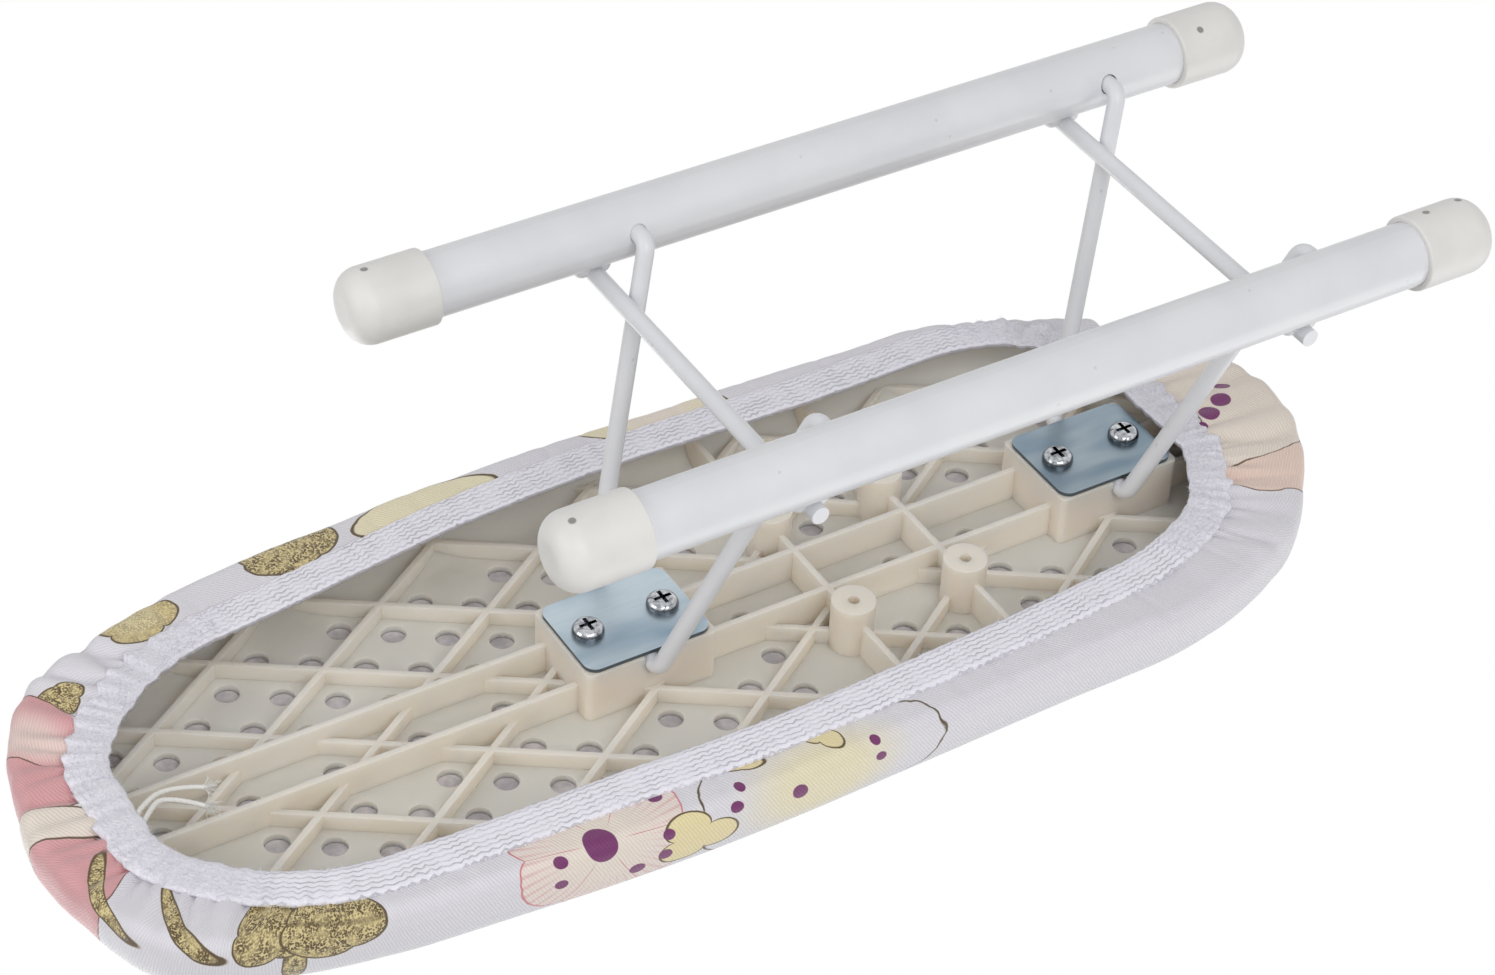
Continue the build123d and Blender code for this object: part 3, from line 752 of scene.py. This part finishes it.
PINK_RIM, PINK_HEART = rgba(214, 158, 161), rgba(230, 206, 199)
BLUSH, PEACH = rgba(233, 219, 212), rgba(230, 205, 192)
CREAM, BUTTER, IVORY = rgba(231, 220, 208), rgba(230, 216, 168), rgba(231, 222, 190)
GOLD, OLIVE = rgba(218, 200, 146), rgba(84, 66, 32)
BROWN, PLUM, ROSE = rgba(96, 74, 52), rgba(112, 34, 98), rgba(206, 128, 132)
COTTON = rgba(222, 220, 226)

# Motifs: x and y on the flat cloth in millimetres, then these values; those left out are 0
MOTIF_VALUES = "Reach Stretch Turn Petals Depth Rim Heart Line Stipple Seams Rib".split()
MOTIFS = [
    (-183, -60, 4.8, 1.7, 0.9, 3, 0.25, GOLD, GOLD, OLIVE, 1),
    (-193, -42, 17, 1.15, 0.3, 3, 0.06, PINK_RIM, PINK_HEART, BROWN),
    (-198, -17, 13.5, 1.7, 0.35, 2, 0.04, PINK_RIM, PINK_RIM, BROWN),
    (-196, 19, 16.5, 1.15, 0.2, 3, 0.08, PINK_RIM, PINK_RIM, BROWN),
    (-197, -1.5, 5.2, 5.0, 0.36, 2, 0.05, CREAM, CREAM, BROWN),
    (-195.5, 31, 2.2, 8.4, -0.912, 2, 0.12, GOLD, GOLD, OLIVE, 1),
    (-183, 59.5, 2.3, 6.6, -0.147, 2, 0.12, GOLD, GOLD, OLIVE, 1),
    (-148, 63, 3.0, 2.6, 1.2, 2, 0.10, GOLD, GOLD, OLIVE, 1),
    (-159, 72, 9.8, 1.25, 0.3, 4, 0.20, GOLD, GOLD, OLIVE, 1),
    (-142, 74, 8.8, 1.65, -0.15, 3, 0.16, GOLD, GOLD, OLIVE, 1, 0, 0.5),
    (-74, 83, 20.5, 1.05, 0.5, 6, 0.16, BLUSH, CREAM, ROSE, 0, 1.6),
    (-16.5, 80, 22, 1.52, 0.0, 5, 0.07, COTTON, IVORY, OLIVE),
    (-51, 77, 6.6, 1.45, 0.12, 3, 0.55, BUTTER, BUTTER, OLIVE),
    (-12, 92.5, 4.2, 1.5, 1.2, 3, 0.45, BUTTER, BUTTER, OLIVE),
    (-34.5, 93, 2.4, 2.4, 0.3, 2, 0.30, BUTTER, BUTTER, OLIVE),
    (170, 44, 14, 1.15, 0.6, 3, 0.10, PEACH, PEACH, BROWN),
    (196, -26, 15, 1.2, 2.0, 4, 0.15, PEACH, PINK_HEART, BROWN),
    (184, 5, 17, 2.85, 1.55, 2, 0.05, CREAM, CREAM, BROWN),
    (-140, -75, 6.5, 2.0, 0.35, 3, 0.25, GOLD, BUTTER, OLIVE, 0.5),
    (-93, -81, 8.0, 1.6, 0.1, 3, 0.15, GOLD, GOLD, OLIVE, 1),
    (-57, -88, 8.0, 2.6, 0.0, 3, 0.15, IVORY, IVORY, OLIVE),
    (12, -80, 13, 1.7, 0.4, 5, 0.22, IVORY, CREAM, OLIVE),
    (-120, 14, 25, 1.0, 1.1, 6, 0.26, PINK_RIM, CREAM, BROWN, 0, 1),
    (-98, -30, 12, 2.0, 0.5, 9, 0.16, GOLD, GOLD, OLIVE, 1, 0, 1),
    (-34, -16, 28, 1.05, 0.7, 6, 0.20, COTTON, BUTTER, OLIVE, 0, 1),
    (-52, 30, 3, 6.5, 0.9, 2, 0.20, GOLD, GOLD, OLIVE, 1),
    (38, 28, 23, 1.1, 0.2, 5, 0.28, PINK_RIM, PINK_HEART, BROWN, 0, 1),
    (46, -34, 13, 1.8, -0.5, 9, 0.16, GOLD, GOLD, OLIVE, 1, 0, 1),
    (104, -10, 25, 1.0, 0.4, 6, 0.25, CREAM, BUTTER, OLIVE, 0, 1),
    (86, 40, 8, 1.5, 1.0, 2, 0.30, BUTTER, CREAM, OLIVE, 0, 0, 0.5),
]
# Dots: x, y, radius, turn
DOTS = [(-74.9, 82.8, 4.6, 1.1), (-84.9, 80.7, 1.8, 0.4), (-84.5, 74.5, 1.7, 0.2), (-58.3, 80.6, 1.7, 0.7),
        (-58.6, 74.7, 1.9, 0.5), (-65.4, 72.6, 2.1, 0.3), (-58.4, 91.5, 1.8, 0.1), (-38.2, 86.4, 1.6, 1.2),
        (-40.4, 81.8, 1.8, 0.3), (-23.2, 79.2, 2.3, 0.8), (-1.2, 83.9, 1.5, 1.0), (-0.5, 79.3, 1.5, 0.4),
        (191.5, 2.6, 2.8, 0.2), (197.0, 5.4, 3.0, 0.6), (201.0, 9.0, 2.2, 0.4), (187.0, -2.4, 2.0, 1.1),
        (-120, 14, 3.8, 0.3), (-112, 21, 1.7, 0.9), (-109, 12, 1.6, 0.1), (-130, 22, 1.8, 0.5),
        (-34, -16, 3.6, 1.1), (-24, -20, 1.7, 0.3), (-27, -8, 1.8, 0.8), (38, 28, 3.9, 0.2),
        (48, 33, 1.8, 1.2), (30, 36, 1.6, 0.5), (104, -10, 3.4, 0.9), (113, -4, 1.7, 0.1), (98, -20, 1.6, 0.7)]


def cover_finish():
    """White twill printed with loose flowers, leaves and dots."""
    material, net, shader = finish_of(
        "printed cotton", tone(220, 218, 224), 0.55, Sheen_Weight=0.25, Sheen_Roughness=0.5)
    place_on = net.flat()
    cloth = net.vector("MULTIPLY", place_on, (1 / MM, 1 / MM, 1 / MM))
    patches = net.span(net.noise(cloth, 0.30), 0.30, 0.60, 0.35, 1.0)
    speckle = net.span(net.cells(cloth, 1.9), 0.70, 0.46) * patches
    wobble = net.noise(cloth, 0.16) - 0.5
    motif, dot = motif_effect(), dot_effect()
    colour = COTTON
    for x, y, *values in MOTIFS:
        colour = net.place(motif, Ground=colour, Cloth=cloth, Centre=(x, y, 0), Speckle=speckle, Wobble=wobble,
                           **dict(zip(MOTIF_VALUES, values)))["Colour"]
    for x, y, size, turn in DOTS:
        colour = net.place(
            dot, Ground=colour, Cloth=cloth, Centre=(x, y, 0), Size=size, Turn=turn, Dye=PLUM)["Colour"]
    weave = net.place(twill_effect(), Vector=place_on, Pitch=0.0009)
    net.dress(shader, net.mix(0.30, colour, net.grey(weave["Shade"]), "MULTIPLY"),
              bump=(weave["Height"], 0.00010, 0.8))
    return material


def hem_finish():
    """White knitted elastic, fuzzy where it is drawn together."""
    material, net, shader = finish_of(
        "knitted elastic", tone(230, 228, 237), 0.85, Sheen_Weight=0.35, Sheen_Roughness=0.6)
    x, y, _ = net.split(net.spot())
    fuzz = net.larger(net.span(x + y * NOSE_SLANT, *FUZZ_NOSE), net.span(x, *FUZZ_HEEL))
    knit = net.place(knit_effect(), Vector=net.flat(), Stitch=0.0025, Row=0.0015, Fuzz=fuzz)
    net.dress(shader, net.mix(1.0, rgba(237, 235, 244), net.grey(knit["Shade"]), "MULTIPLY"),
              bump=(knit["Height"], 0.00025, 0.9))
    return material


def foam_finish():
    """Pale lilac-grey foam, open and slightly uneven, with painted shade in its pores."""
    material, net, shader = finish_of("padding foam", tone(198, 194, 198), 0.9)
    spot = net.spot()
    pores = net.cells(spot, 1500.0)
    tint = net.mix(net.span(net.noise(spot, 260.0), 0.3, 0.7), rgba(180, 176, 181), rgba(212, 208, 211))
    # Painted shade: the pore hollows are darkened towards a dark grey
    net.dress(shader, net.mix(net.span(pores, 0.25, 0.05, 0.0, 0.35), tint, rgba(140, 137, 142)),
              bump=(pores, 0.0002, 0.6))
    return material


def cotton_finish():
    """Undyed cotton yarn."""
    material, net, shader = finish_of("cotton yarn", tone(235, 234, 230), 0.85)
    grain = net.noise(net.spot(), 5200.0, 3.0, 0.7)
    net.dress(shader, net.mix(net.span(grain, 0.25, 0.7), rgba(206, 203, 196), rgba(242, 241, 238)),
              bump=(grain, 0.00012, 0.7))
    return material


def mottle(net, at, scales, dark, light, rough):
    """Uneven surface in broad patches between two colours and two roughnesses; (marks, colour, roughness)."""
    group = bpy.data.node_groups.get("surface unevenness") or surface_effect()
    marks = net.place(group, Vector=at, **dict(zip(("Fine", "Broad", "Specks"), scales)))
    colour = net.mix(net.span(marks["Tone"], 0.3, 0.7), rgba(*dark), rgba(*light))
    return marks, colour, net.span(marks["Tone"], 0.3, 0.7, *rough)


def tray_finish():
    """Ivory moulded plastic with faint flow marks."""
    material, net, shader = finish_of(
        "ivory plastic", tone(230, 221, 209), 0.48, Subsurface_Weight=0.85, Subsurface_Scale=1.0,
        Subsurface_Radius=(0.0075, 0.0062, 0.0050))
    flow = net.vector("MULTIPLY", net.spot(), (0.35, 1.0, 1.0))
    marks, colour, rough = mottle(
        net, flow, (700.0, 26.0, 60.0), (226, 217, 204), (233, 225, 214), (0.42, 0.56))
    net.dress(shader, colour, rough, (marks["Height"], 0.00004, 0.5))
    return material


def zinc_finish():
    """Bright zinc sheet: cloudy blue-grey with fine rolling lines, darker on its cut edge, painted reflection
    darker to the heel.
    """
    material, net, shader = finish_of("zinc sheet", tone(172, 186, 196), 0.32, 1.0)
    spot = net.spot()
    streaks = net.noise(net.vector("MULTIPLY", spot, (60.0, 900.0, 60.0)), 1.0, 3.0, 0.6)
    cloud = net.noise(net.vector("MULTIPLY", spot, (0.4, 1.0, 1.0)), 70.0, 2.0, 0.5, 0.4)
    face = net.mix(net.span(cloud, 0.30, 0.68), rgba(140, 162, 178), rgba(192, 205, 213))
    face = net.mix(net.span(streaks, 0.35, 0.75, 0.0, 0.12), face, rgba(128, 150, 166))
    # Painted reflection: the sheet a little lighter at the nose plate and darker towards the heel plate
    painted_reflection_tone = net.span(net.split(spot)[0], -0.03, 0.10, 1.04, 0.76)
    face = net.mix(1.0, face, net.grey(painted_reflection_tone), "MULTIPLY")
    colour = net.mix(net.span(net.level(), 0.5, 0.9), rgba(96, 106, 112), face)
    net.dress(shader, colour, net.span(cloud, 0.3, 0.7, 0.28, 0.38), (streaks, 0.00002, 0.5))
    return material


def screw_finish():
    """Bright plated screw, with painted shade in its cross recess and under its rim."""
    material, net, shader = finish_of("bright plating", tone(214, 216, 218), 0.12, 1.0)
    cloud = net.noise(net.spot(), 900.0)
    body = net.mix(net.span(cloud, 0.3, 0.7), rgba(150, 154, 159), rgba(206, 208, 211))
    # Painted shade: steep faces in the cross recess and under the rim are darkened
    painted_recess_shade = net.span(net.level(), 0.75, 0.25)
    net.dress(shader, net.mix(painted_recess_shade * 0.75, body, rgba(52, 54, 58)), net.span(cloud, 0.3, 0.7, 0.10, 0.20))
    return material


def enamel_finish(name, fine):
    """White baked enamel with a faint orange-peel surface and a few specks."""
    material, net, shader = finish_of(
        name, tone(221, 222, 225), 0.34, Specular_IOR_Level=0.35, Coat_Weight=0.15, Coat_Roughness=0.12)
    marks, body, rough = mottle(
        net, net.spot(), (fine, 55.0, 120.0), (219, 220, 224), (224, 225, 228), (0.31, 0.36))
    net.dress(shader, net.mix(marks["Speck"] * 0.25, body, rgba(150, 150, 152)), rough,
              (marks["Height"], 0.00004, 0.3))
    return material


def cap_finish():
    """Off-white moulded plastic with small gate marks."""
    material, net, shader = finish_of("off-white plastic", tone(219, 218, 214), 0.45)
    spot = net.spot()
    marks, body, rough = mottle(net, spot, (1200.0, 70.0, 90.0), (220, 219, 216), (227, 226, 223), (0.36, 0.50))
    nearest = net.vector("DISTANCE", spot, GATE_MARKS[0])
    for at in GATE_MARKS[1:]:
        nearest = net.math("MINIMUM", nearest, net.vector("DISTANCE", spot, at))
    nick = net.span(nearest, 0.0011, 0.0007)
    net.dress(shader, net.mix(nick * 0.75, body, rgba(96, 90, 84)), rough,
              (marks["Height"] * 0.12 - nick, 0.0003, 0.5))
    return material


def coat(material, *names):
    """Gives solids a finish."""
    for name in names:
        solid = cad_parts[name]
        if not solid.material_slots:
            solid.data.materials.append(material)
        for holder in solid.material_slots:
            holder.material = material


# ------------------------------------------------------------ settings
class ClothSettings(bpy.types.PropertyGroup):
    """Sizes of the cover and its hem."""

    rays: IntProperty(
        name="Points Round", description="Points round the board in the cover and the hem",
        default=1080, min=240, max=2000)
    fold_depth: FloatProperty(
        name="Fold Depth", description="Depth of the gathers beside the hem at the nose and heel",
        default=0.0026, min=0.0, max=0.003, unit="LENGTH", subtype="DISTANCE")
    seed: IntProperty(name="Seed", description="Chooses where the gathers fall", default=4, min=0)
    fringe: IntProperty(
        name="Loose Fibres", description="Loose fibres along the hem's inner edge",
        default=1500, min=0, max=3000)
    pile: IntProperty(
        name="Loose Pile", description="Fibres tried over the hem; those along the sides are left out",
        default=9000, min=0, max=20000)


class CordSettings(bpy.types.PropertyGroup):
    """Sizes of the drawstring."""

    diameter: FloatProperty(
        name="Diameter", description="Diameter of each strand", default=0.0013, min=0.0005, max=0.003,
        unit="LENGTH", subtype="DISTANCE")
    lay: FloatProperty(
        name="Lay", description="Length of one turn of the twisted yarns", default=0.0042, min=0.001, max=0.02,
        unit="LENGTH", subtype="DISTANCE")


class StageSettings(bpy.types.PropertyGroup):
    """Floor, lamps and camera."""

    floor_size: FloatProperty(
        name="Floor Size", description="Side of the square floor", default=6.0, min=1.0, max=20.0,
        unit="LENGTH", subtype="DISTANCE")
    floor_colour: FloatVectorProperty(
        name="Floor Colour", description="Colour of the floor", subtype="COLOR", size=3,
        default=(0.86, 0.86, 0.86), min=0, max=1)
    lens: FloatProperty(
        name="Lens", description="Focal length of the camera for a 36 mm wide picture",
        default=89.04, min=20, max=200, unit="CAMERA")
    surround: FloatProperty(
        name="Surround", description="Strength of the even light from all round", default=0.52, min=0, max=1)
    key: FloatProperty(
        name="Key Lamp", description="Power of the large lamp below the feet", default=10.0, min=0, max=100,
        unit="POWER")
    top: FloatProperty(
        name="Top Lamp", description="Power of the large lamp above the board", default=9.0, min=0, max=100,
        unit="POWER")


class Builder:
    """Shared by the operators."""

    bl_options = {"REGISTER", "UNDO"}

    @classmethod
    def poll(cls, context):
        return context.scene is not None


class SLEEVE_OT_stage(Builder, bpy.types.Operator):
    """Camera, lamps, surround and floor"""

    bl_idname = "sleeve.stage"
    bl_label = "Stage"

    def execute(self, context):
        scene, settings = context.scene, context.scene.sleeve_stage
        scene.view_settings.view_transform = "Standard"
        for part in (self.camera, self.lamps, self.surround, self.floor):
            part(scene, settings)
        return {"FINISHED"}

    def camera(self, scene, settings):
        data = bpy.data.cameras.new("camera")
        data.sensor_fit = "HORIZONTAL"
        data.sensor_width = 36.0
        data.lens = settings.lens
        data.clip_start = 0.02
        data.clip_end = 60.0
        camera = bpy.data.objects.new("camera", data)
        scene.collection.objects.link(camera)
        ahead = Vector(CAMERA_AHEAD).normalized()
        up = Vector(CAMERA_RIGHT).normalized().cross(ahead).normalized()
        right = ahead.cross(up).normalized()
        turn = Matrix((right, up, -ahead)).transposed().to_4x4()
        camera.matrix_world = Matrix.Translation(CAMERA_AT) @ turn
        scene.camera = camera

    def lamps(self, scene, settings):
        for name, at, size, power, share in LAMPS:
            data = bpy.data.lights.new(name, "AREA")
            data.shape = "SQUARE"
            data.size = size
            data.energy = getattr(settings, power) * share
            lamp = bpy.data.objects.new(name, data)
            scene.collection.objects.link(lamp)
            aim = Vector(LAMPS_AIM) - Vector(at)
            lamp.matrix_world = Matrix.Translation(at) @ aim.to_track_quat("-Z", "Y").to_matrix().to_4x4()
            lamp.visible_camera = False

    def surround(self, scene, settings):
        """Even light from all round; the camera and reflections see white paper."""
        world = bpy.data.worlds.new("surround")
        scene.world = world
        world.use_nodes = True
        world.node_tree.nodes.clear()
        net = Net(world.node_tree)
        rays = net.node("ShaderNodeLightPath").outputs
        seen = net.larger(rays["Is Camera Ray"], net.larger(rays["Is Glossy Ray"], rays["Is Transmission Ray"]))
        light, paper = [net.build("ShaderNodeBackground", {"Color": (1, 1, 1, 1), "Strength": strength})
                        for strength in (settings.surround, 1.0)]
        blend = net.build("ShaderNodeMixShader", enumerate((seen, light, paper)))
        net.feed(net.node("ShaderNodeOutputWorld").inputs[0], blend)

    def floor(self, scene, settings):
        """Floor that is clear to the camera from below and to every other ray."""
        half = settings.floor_size / 2
        steps = 12
        ticks = [-half + 2 * half * k / steps for k in range(steps + 1)]
        points = [(x, y, 0.0) for y in ticks for x in ticks]
        corners = (0, 1, steps + 2, steps + 1)
        faces = [[j * (steps + 1) + i + k for k in corners] for j in range(steps) for i in range(steps)]
        mesh = bpy.data.meshes.new("floor")
        mesh.from_pydata(points, [], faces)
        floor = bpy.data.objects.new("floor", mesh)
        scene.collection.objects.link(floor)
        floor.location.z = -0.0002
        material, net, shader = finish_of("pale floor", settings.floor_colour, 0.9)
        dark, light = [(*(c + shift for c in settings.floor_colour), 1) for shift in (-0.02, 0.02)]
        net.feed(shader.inputs["Base Color"], net.mix(net.noise(net.spot(), 30.0), dark, light))
        rays = net.node("ShaderNodeLightPath").outputs
        back = Value(net, net.node("ShaderNodeNewGeometry").outputs["Backfacing"])
        clear = net.node("ShaderNodeBsdfTransparent").outputs[0]
        shown = (1.0 - back) * rays["Is Camera Ray"]
        blend = net.build("ShaderNodeMixShader", enumerate((shown, clear, shader.outputs[0])))
        net.feed(material.node_tree.nodes["Material Output"].inputs[0], blend)
        mesh.materials.append(material)


class SLEEVE_OT_drawstring(Builder, bpy.types.Operator):
    """Two twisted cotton strands that leave the hem at the nose, each with a frayed end"""

    bl_idname = "sleeve.drawstring"
    bl_label = "Drawstring"

    def execute(self, context):
        settings = context.scene.sleeve_cord
        material = cotton_finish()
        for order, (name, route) in enumerate(CORD_ROUTES.items()):
            line = route_line(route)
            points, faces = [], []
            add_tube(points, faces, line, settings.diameter / 2, 20, 3, settings.lay)
            strand = place(mesh_of(name + "_yarn", points, faces), material, "cotton_cord", name)
            fray = place(self.fray(name, line, settings.diameter, order), material, "cotton_cord")
        return {"FINISHED"}

    def fray(self, name, line, diameter, order):
        """Loose fibres where the strand ends."""
        source = random.Random(31 + order)
        points, faces = [], []
        end = line[-1]
        ahead = (line[-1] - line[-4]).normalized()
        for _ in range(FRAY_FIBRES):
            lean = Vector([source.uniform(-0.8, 0.8) for _ in range(3)])
            start = end - ahead * 0.0006 + lean * diameter * 0.4
            way = (ahead + lean * 0.8).normalized()
            size = source.uniform(0.0018, 0.0034)
            curl = Vector([source.uniform(-0.4, 0.4) for _ in range(3)])
            loose = fibre(start, way, curl, size, (0, 0.25, 0.5, 0.75, 1.0))
            add_tube(points, faces, loose, FRAY_RADIUS, 5, taper=True)
        return mesh_of(name + "_fray", points, faces)


class SLEEVE_OT_hem(Builder, bpy.types.Operator):
    """Gathered elastic hem with loose fibres on it"""

    bl_idname = "sleeve.hem"
    bl_label = "Elastic Hem"

    def execute(self, context):
        settings = context.scene.sleeve_cloth
        rows, flats = hem_rows(settings)
        mesh = ring_mesh("hem_band", rows, flats, close_section=True)
        place(mesh, hem_finish(), "hem_elastic", "elastic_hem")
        place(self.fibres(rows, settings), finish_of("loose fibre", tone(234, 232, 240), 0.9)[0], "hem_elastic")
        return {"FINISHED"}

    def fibres(self, rows, settings):
        """Short curled fibres along the inner edge and loose pile over the drawn-up parts of the hem."""
        source = random.Random(settings.seed + 40)
        points, faces = [], []
        edge = rows[0]
        count = len(edge)
        for _ in range(settings.fringe):
            x, y, z = edge[source.randrange(count)]
            if x > NOSE_GATHER[0] and source.random() < 0.72:
                continue
            inward = Vector((min(max(x, SPINE_FROM), SPINE_TO) - x, -y, 0)).normalized()
            start = Vector((x, y, z)) * MM - inward * 0.0006 + Vector((0, 0, source.uniform(-0.0002, 0.0006)))
            size = source.uniform(0.0004, 0.0013)
            side = inward.cross(Vector((0, 0, 1))) * source.uniform(-0.9, 0.9)
            curl = Vector([source.uniform(-0.8, 0.8) for _ in range(3)])
            way = (inward + side + Vector((0, 0, source.uniform(-0.35, 0.25)))).normalized()
            add_tube(points, faces, fibre(start, way, curl * 0.6, size), FIBRE_RADIUS, 4, taper=True)
        for _ in range(settings.pile):
            x, y, z = rows[source.randrange(2, HEM_STEPS)][source.randrange(count)]
            if x + NOSE_SLANT * y > PILE_FROM and x < PILE_TO:
                continue
            start = Vector((x, y, z)) * MM
            way = Vector((source.uniform(-1, 1), source.uniform(-1, 1), source.uniform(-0.8, -0.1)))
            way.normalize()
            size = source.uniform(0.0005, 0.0013)
            curl = Vector((source.uniform(-0.9, 0.9), source.uniform(-0.9, 0.9), source.uniform(0.0, 0.7)))
            add_tube(points, faces, fibre(start, way, curl, size), FIBRE_RADIUS, 3, taper=True)
        return mesh_of("hem_fibres", points, faces)


class SLEEVE_OT_cover(Builder, bpy.types.Operator):
    """Printed cotton cover, drawn under the board and gathered at the nose and heel"""

    bl_idname = "sleeve.cover"
    bl_label = "Cover"

    def execute(self, context):
        mesh = welded(ring_mesh("cloth_cover", *cloth_rows(context.scene.sleeve_cloth)))
        cover = place(mesh, cover_finish(), "cover_fabric", "fabric_cover")
        return {"FINISHED"}


class SLEEVE_OT_foam(Builder, bpy.types.Operator):
    """Foam sheet under the cover, seen through the vents"""

    bl_idname = "sleeve.foam"
    bl_label = "Padding"

    def execute(self, context):
        mesh = welded(ring_mesh("foam_layer", *foam_rows()))
        foam = place(mesh, foam_finish(), "foam", "foam_pad")
        return {"FINISHED"}


class SLEEVE_OT_plastics(Builder, bpy.types.Operator):
    """Ivory tray and off-white foot caps"""

    bl_idname = "sleeve.plastics"
    bl_label = "Tray and Caps"

    def execute(self, context):
        coat(tray_finish(), "board_tray")
        coat(cap_finish(), "front_cap_nose", "front_cap_heel", "back_cap_nose", "back_cap_heel")
        return {"FINISHED"}


class SLEEVE_OT_metals(Builder, bpy.types.Operator):
    """Zinc leg plates, plated screws and white enamelled wire and tube"""

    bl_idname = "sleeve.metals"
    bl_label = "Plates, Screws, Legs and Tubes"

    def execute(self, context):
        coat(zinc_finish(), "nose_plate", "heel_plate")
        coat(screw_finish(), "nose_plate_screw_fore", "nose_plate_screw_aft", "heel_plate_screw_fore",
             "heel_plate_screw_aft")
        coat(enamel_finish("white enamel wire", 1500.0), "nose_leg", "heel_leg", "nose_crossbar",
             "heel_crossbar", "weld_beads")
        coat(enamel_finish("white enamel tube", 800.0), "front_tube", "back_tube")
        return {"FINISHED"}


class SLEEVE_PT_board(bpy.types.Panel):
    """Lists what the board is built from"""

    bl_idname = "SLEEVE_PT_board"
    bl_label = "Sleeve Ironing Board"
    bl_space_type = "VIEW_3D"
    bl_region_type = "UI"
    bl_category = "Sleeve Board"

    def draw(self, context):
        layout = self.layout
        scene = context.scene
        layout.operator("sleeve.stage")
        for name in ("floor_size", "floor_colour", "lens", "surround", "key", "top"):
            layout.prop(scene.sleeve_stage, name)
        layout.operator("sleeve.drawstring")
        for name in ("diameter", "lay"):
            layout.prop(scene.sleeve_cord, name)
        layout.operator("sleeve.foam")
        layout.operator("sleeve.hem")
        layout.operator("sleeve.cover")
        for name in ("rays", "fold_depth", "seed", "fringe", "pile"):
            layout.prop(scene.sleeve_cloth, name)
        layout.operator("sleeve.plastics")
        layout.operator("sleeve.metals")


CLASSES = (ClothSettings, CordSettings, StageSettings, SLEEVE_OT_stage, SLEEVE_OT_drawstring, SLEEVE_OT_hem,
           SLEEVE_OT_cover, SLEEVE_OT_foam, SLEEVE_OT_plastics, SLEEVE_OT_metals, SLEEVE_PT_board)


def register():
    for kind in CLASSES:
        bpy.utils.register_class(kind)
    bpy.types.Scene.sleeve_cloth = PointerProperty(type=ClothSettings)
    bpy.types.Scene.sleeve_cord = PointerProperty(type=CordSettings)
    bpy.types.Scene.sleeve_stage = PointerProperty(type=StageSettings)


def unregister():
    del bpy.types.Scene.sleeve_stage
    del bpy.types.Scene.sleeve_cord
    del bpy.types.Scene.sleeve_cloth
    for kind in reversed(CLASSES):
        bpy.utils.unregister_class(kind)


def main():
    register()
    bpy.ops.sleeve.stage()
    bpy.ops.sleeve.drawstring()
    bpy.ops.sleeve.foam()
    bpy.ops.sleeve.hem()
    bpy.ops.sleeve.cover()
    bpy.ops.sleeve.plastics()
    bpy.ops.sleeve.metals()
    bpy.context.view_layer.update()


if __name__ == "__main__":
    main()
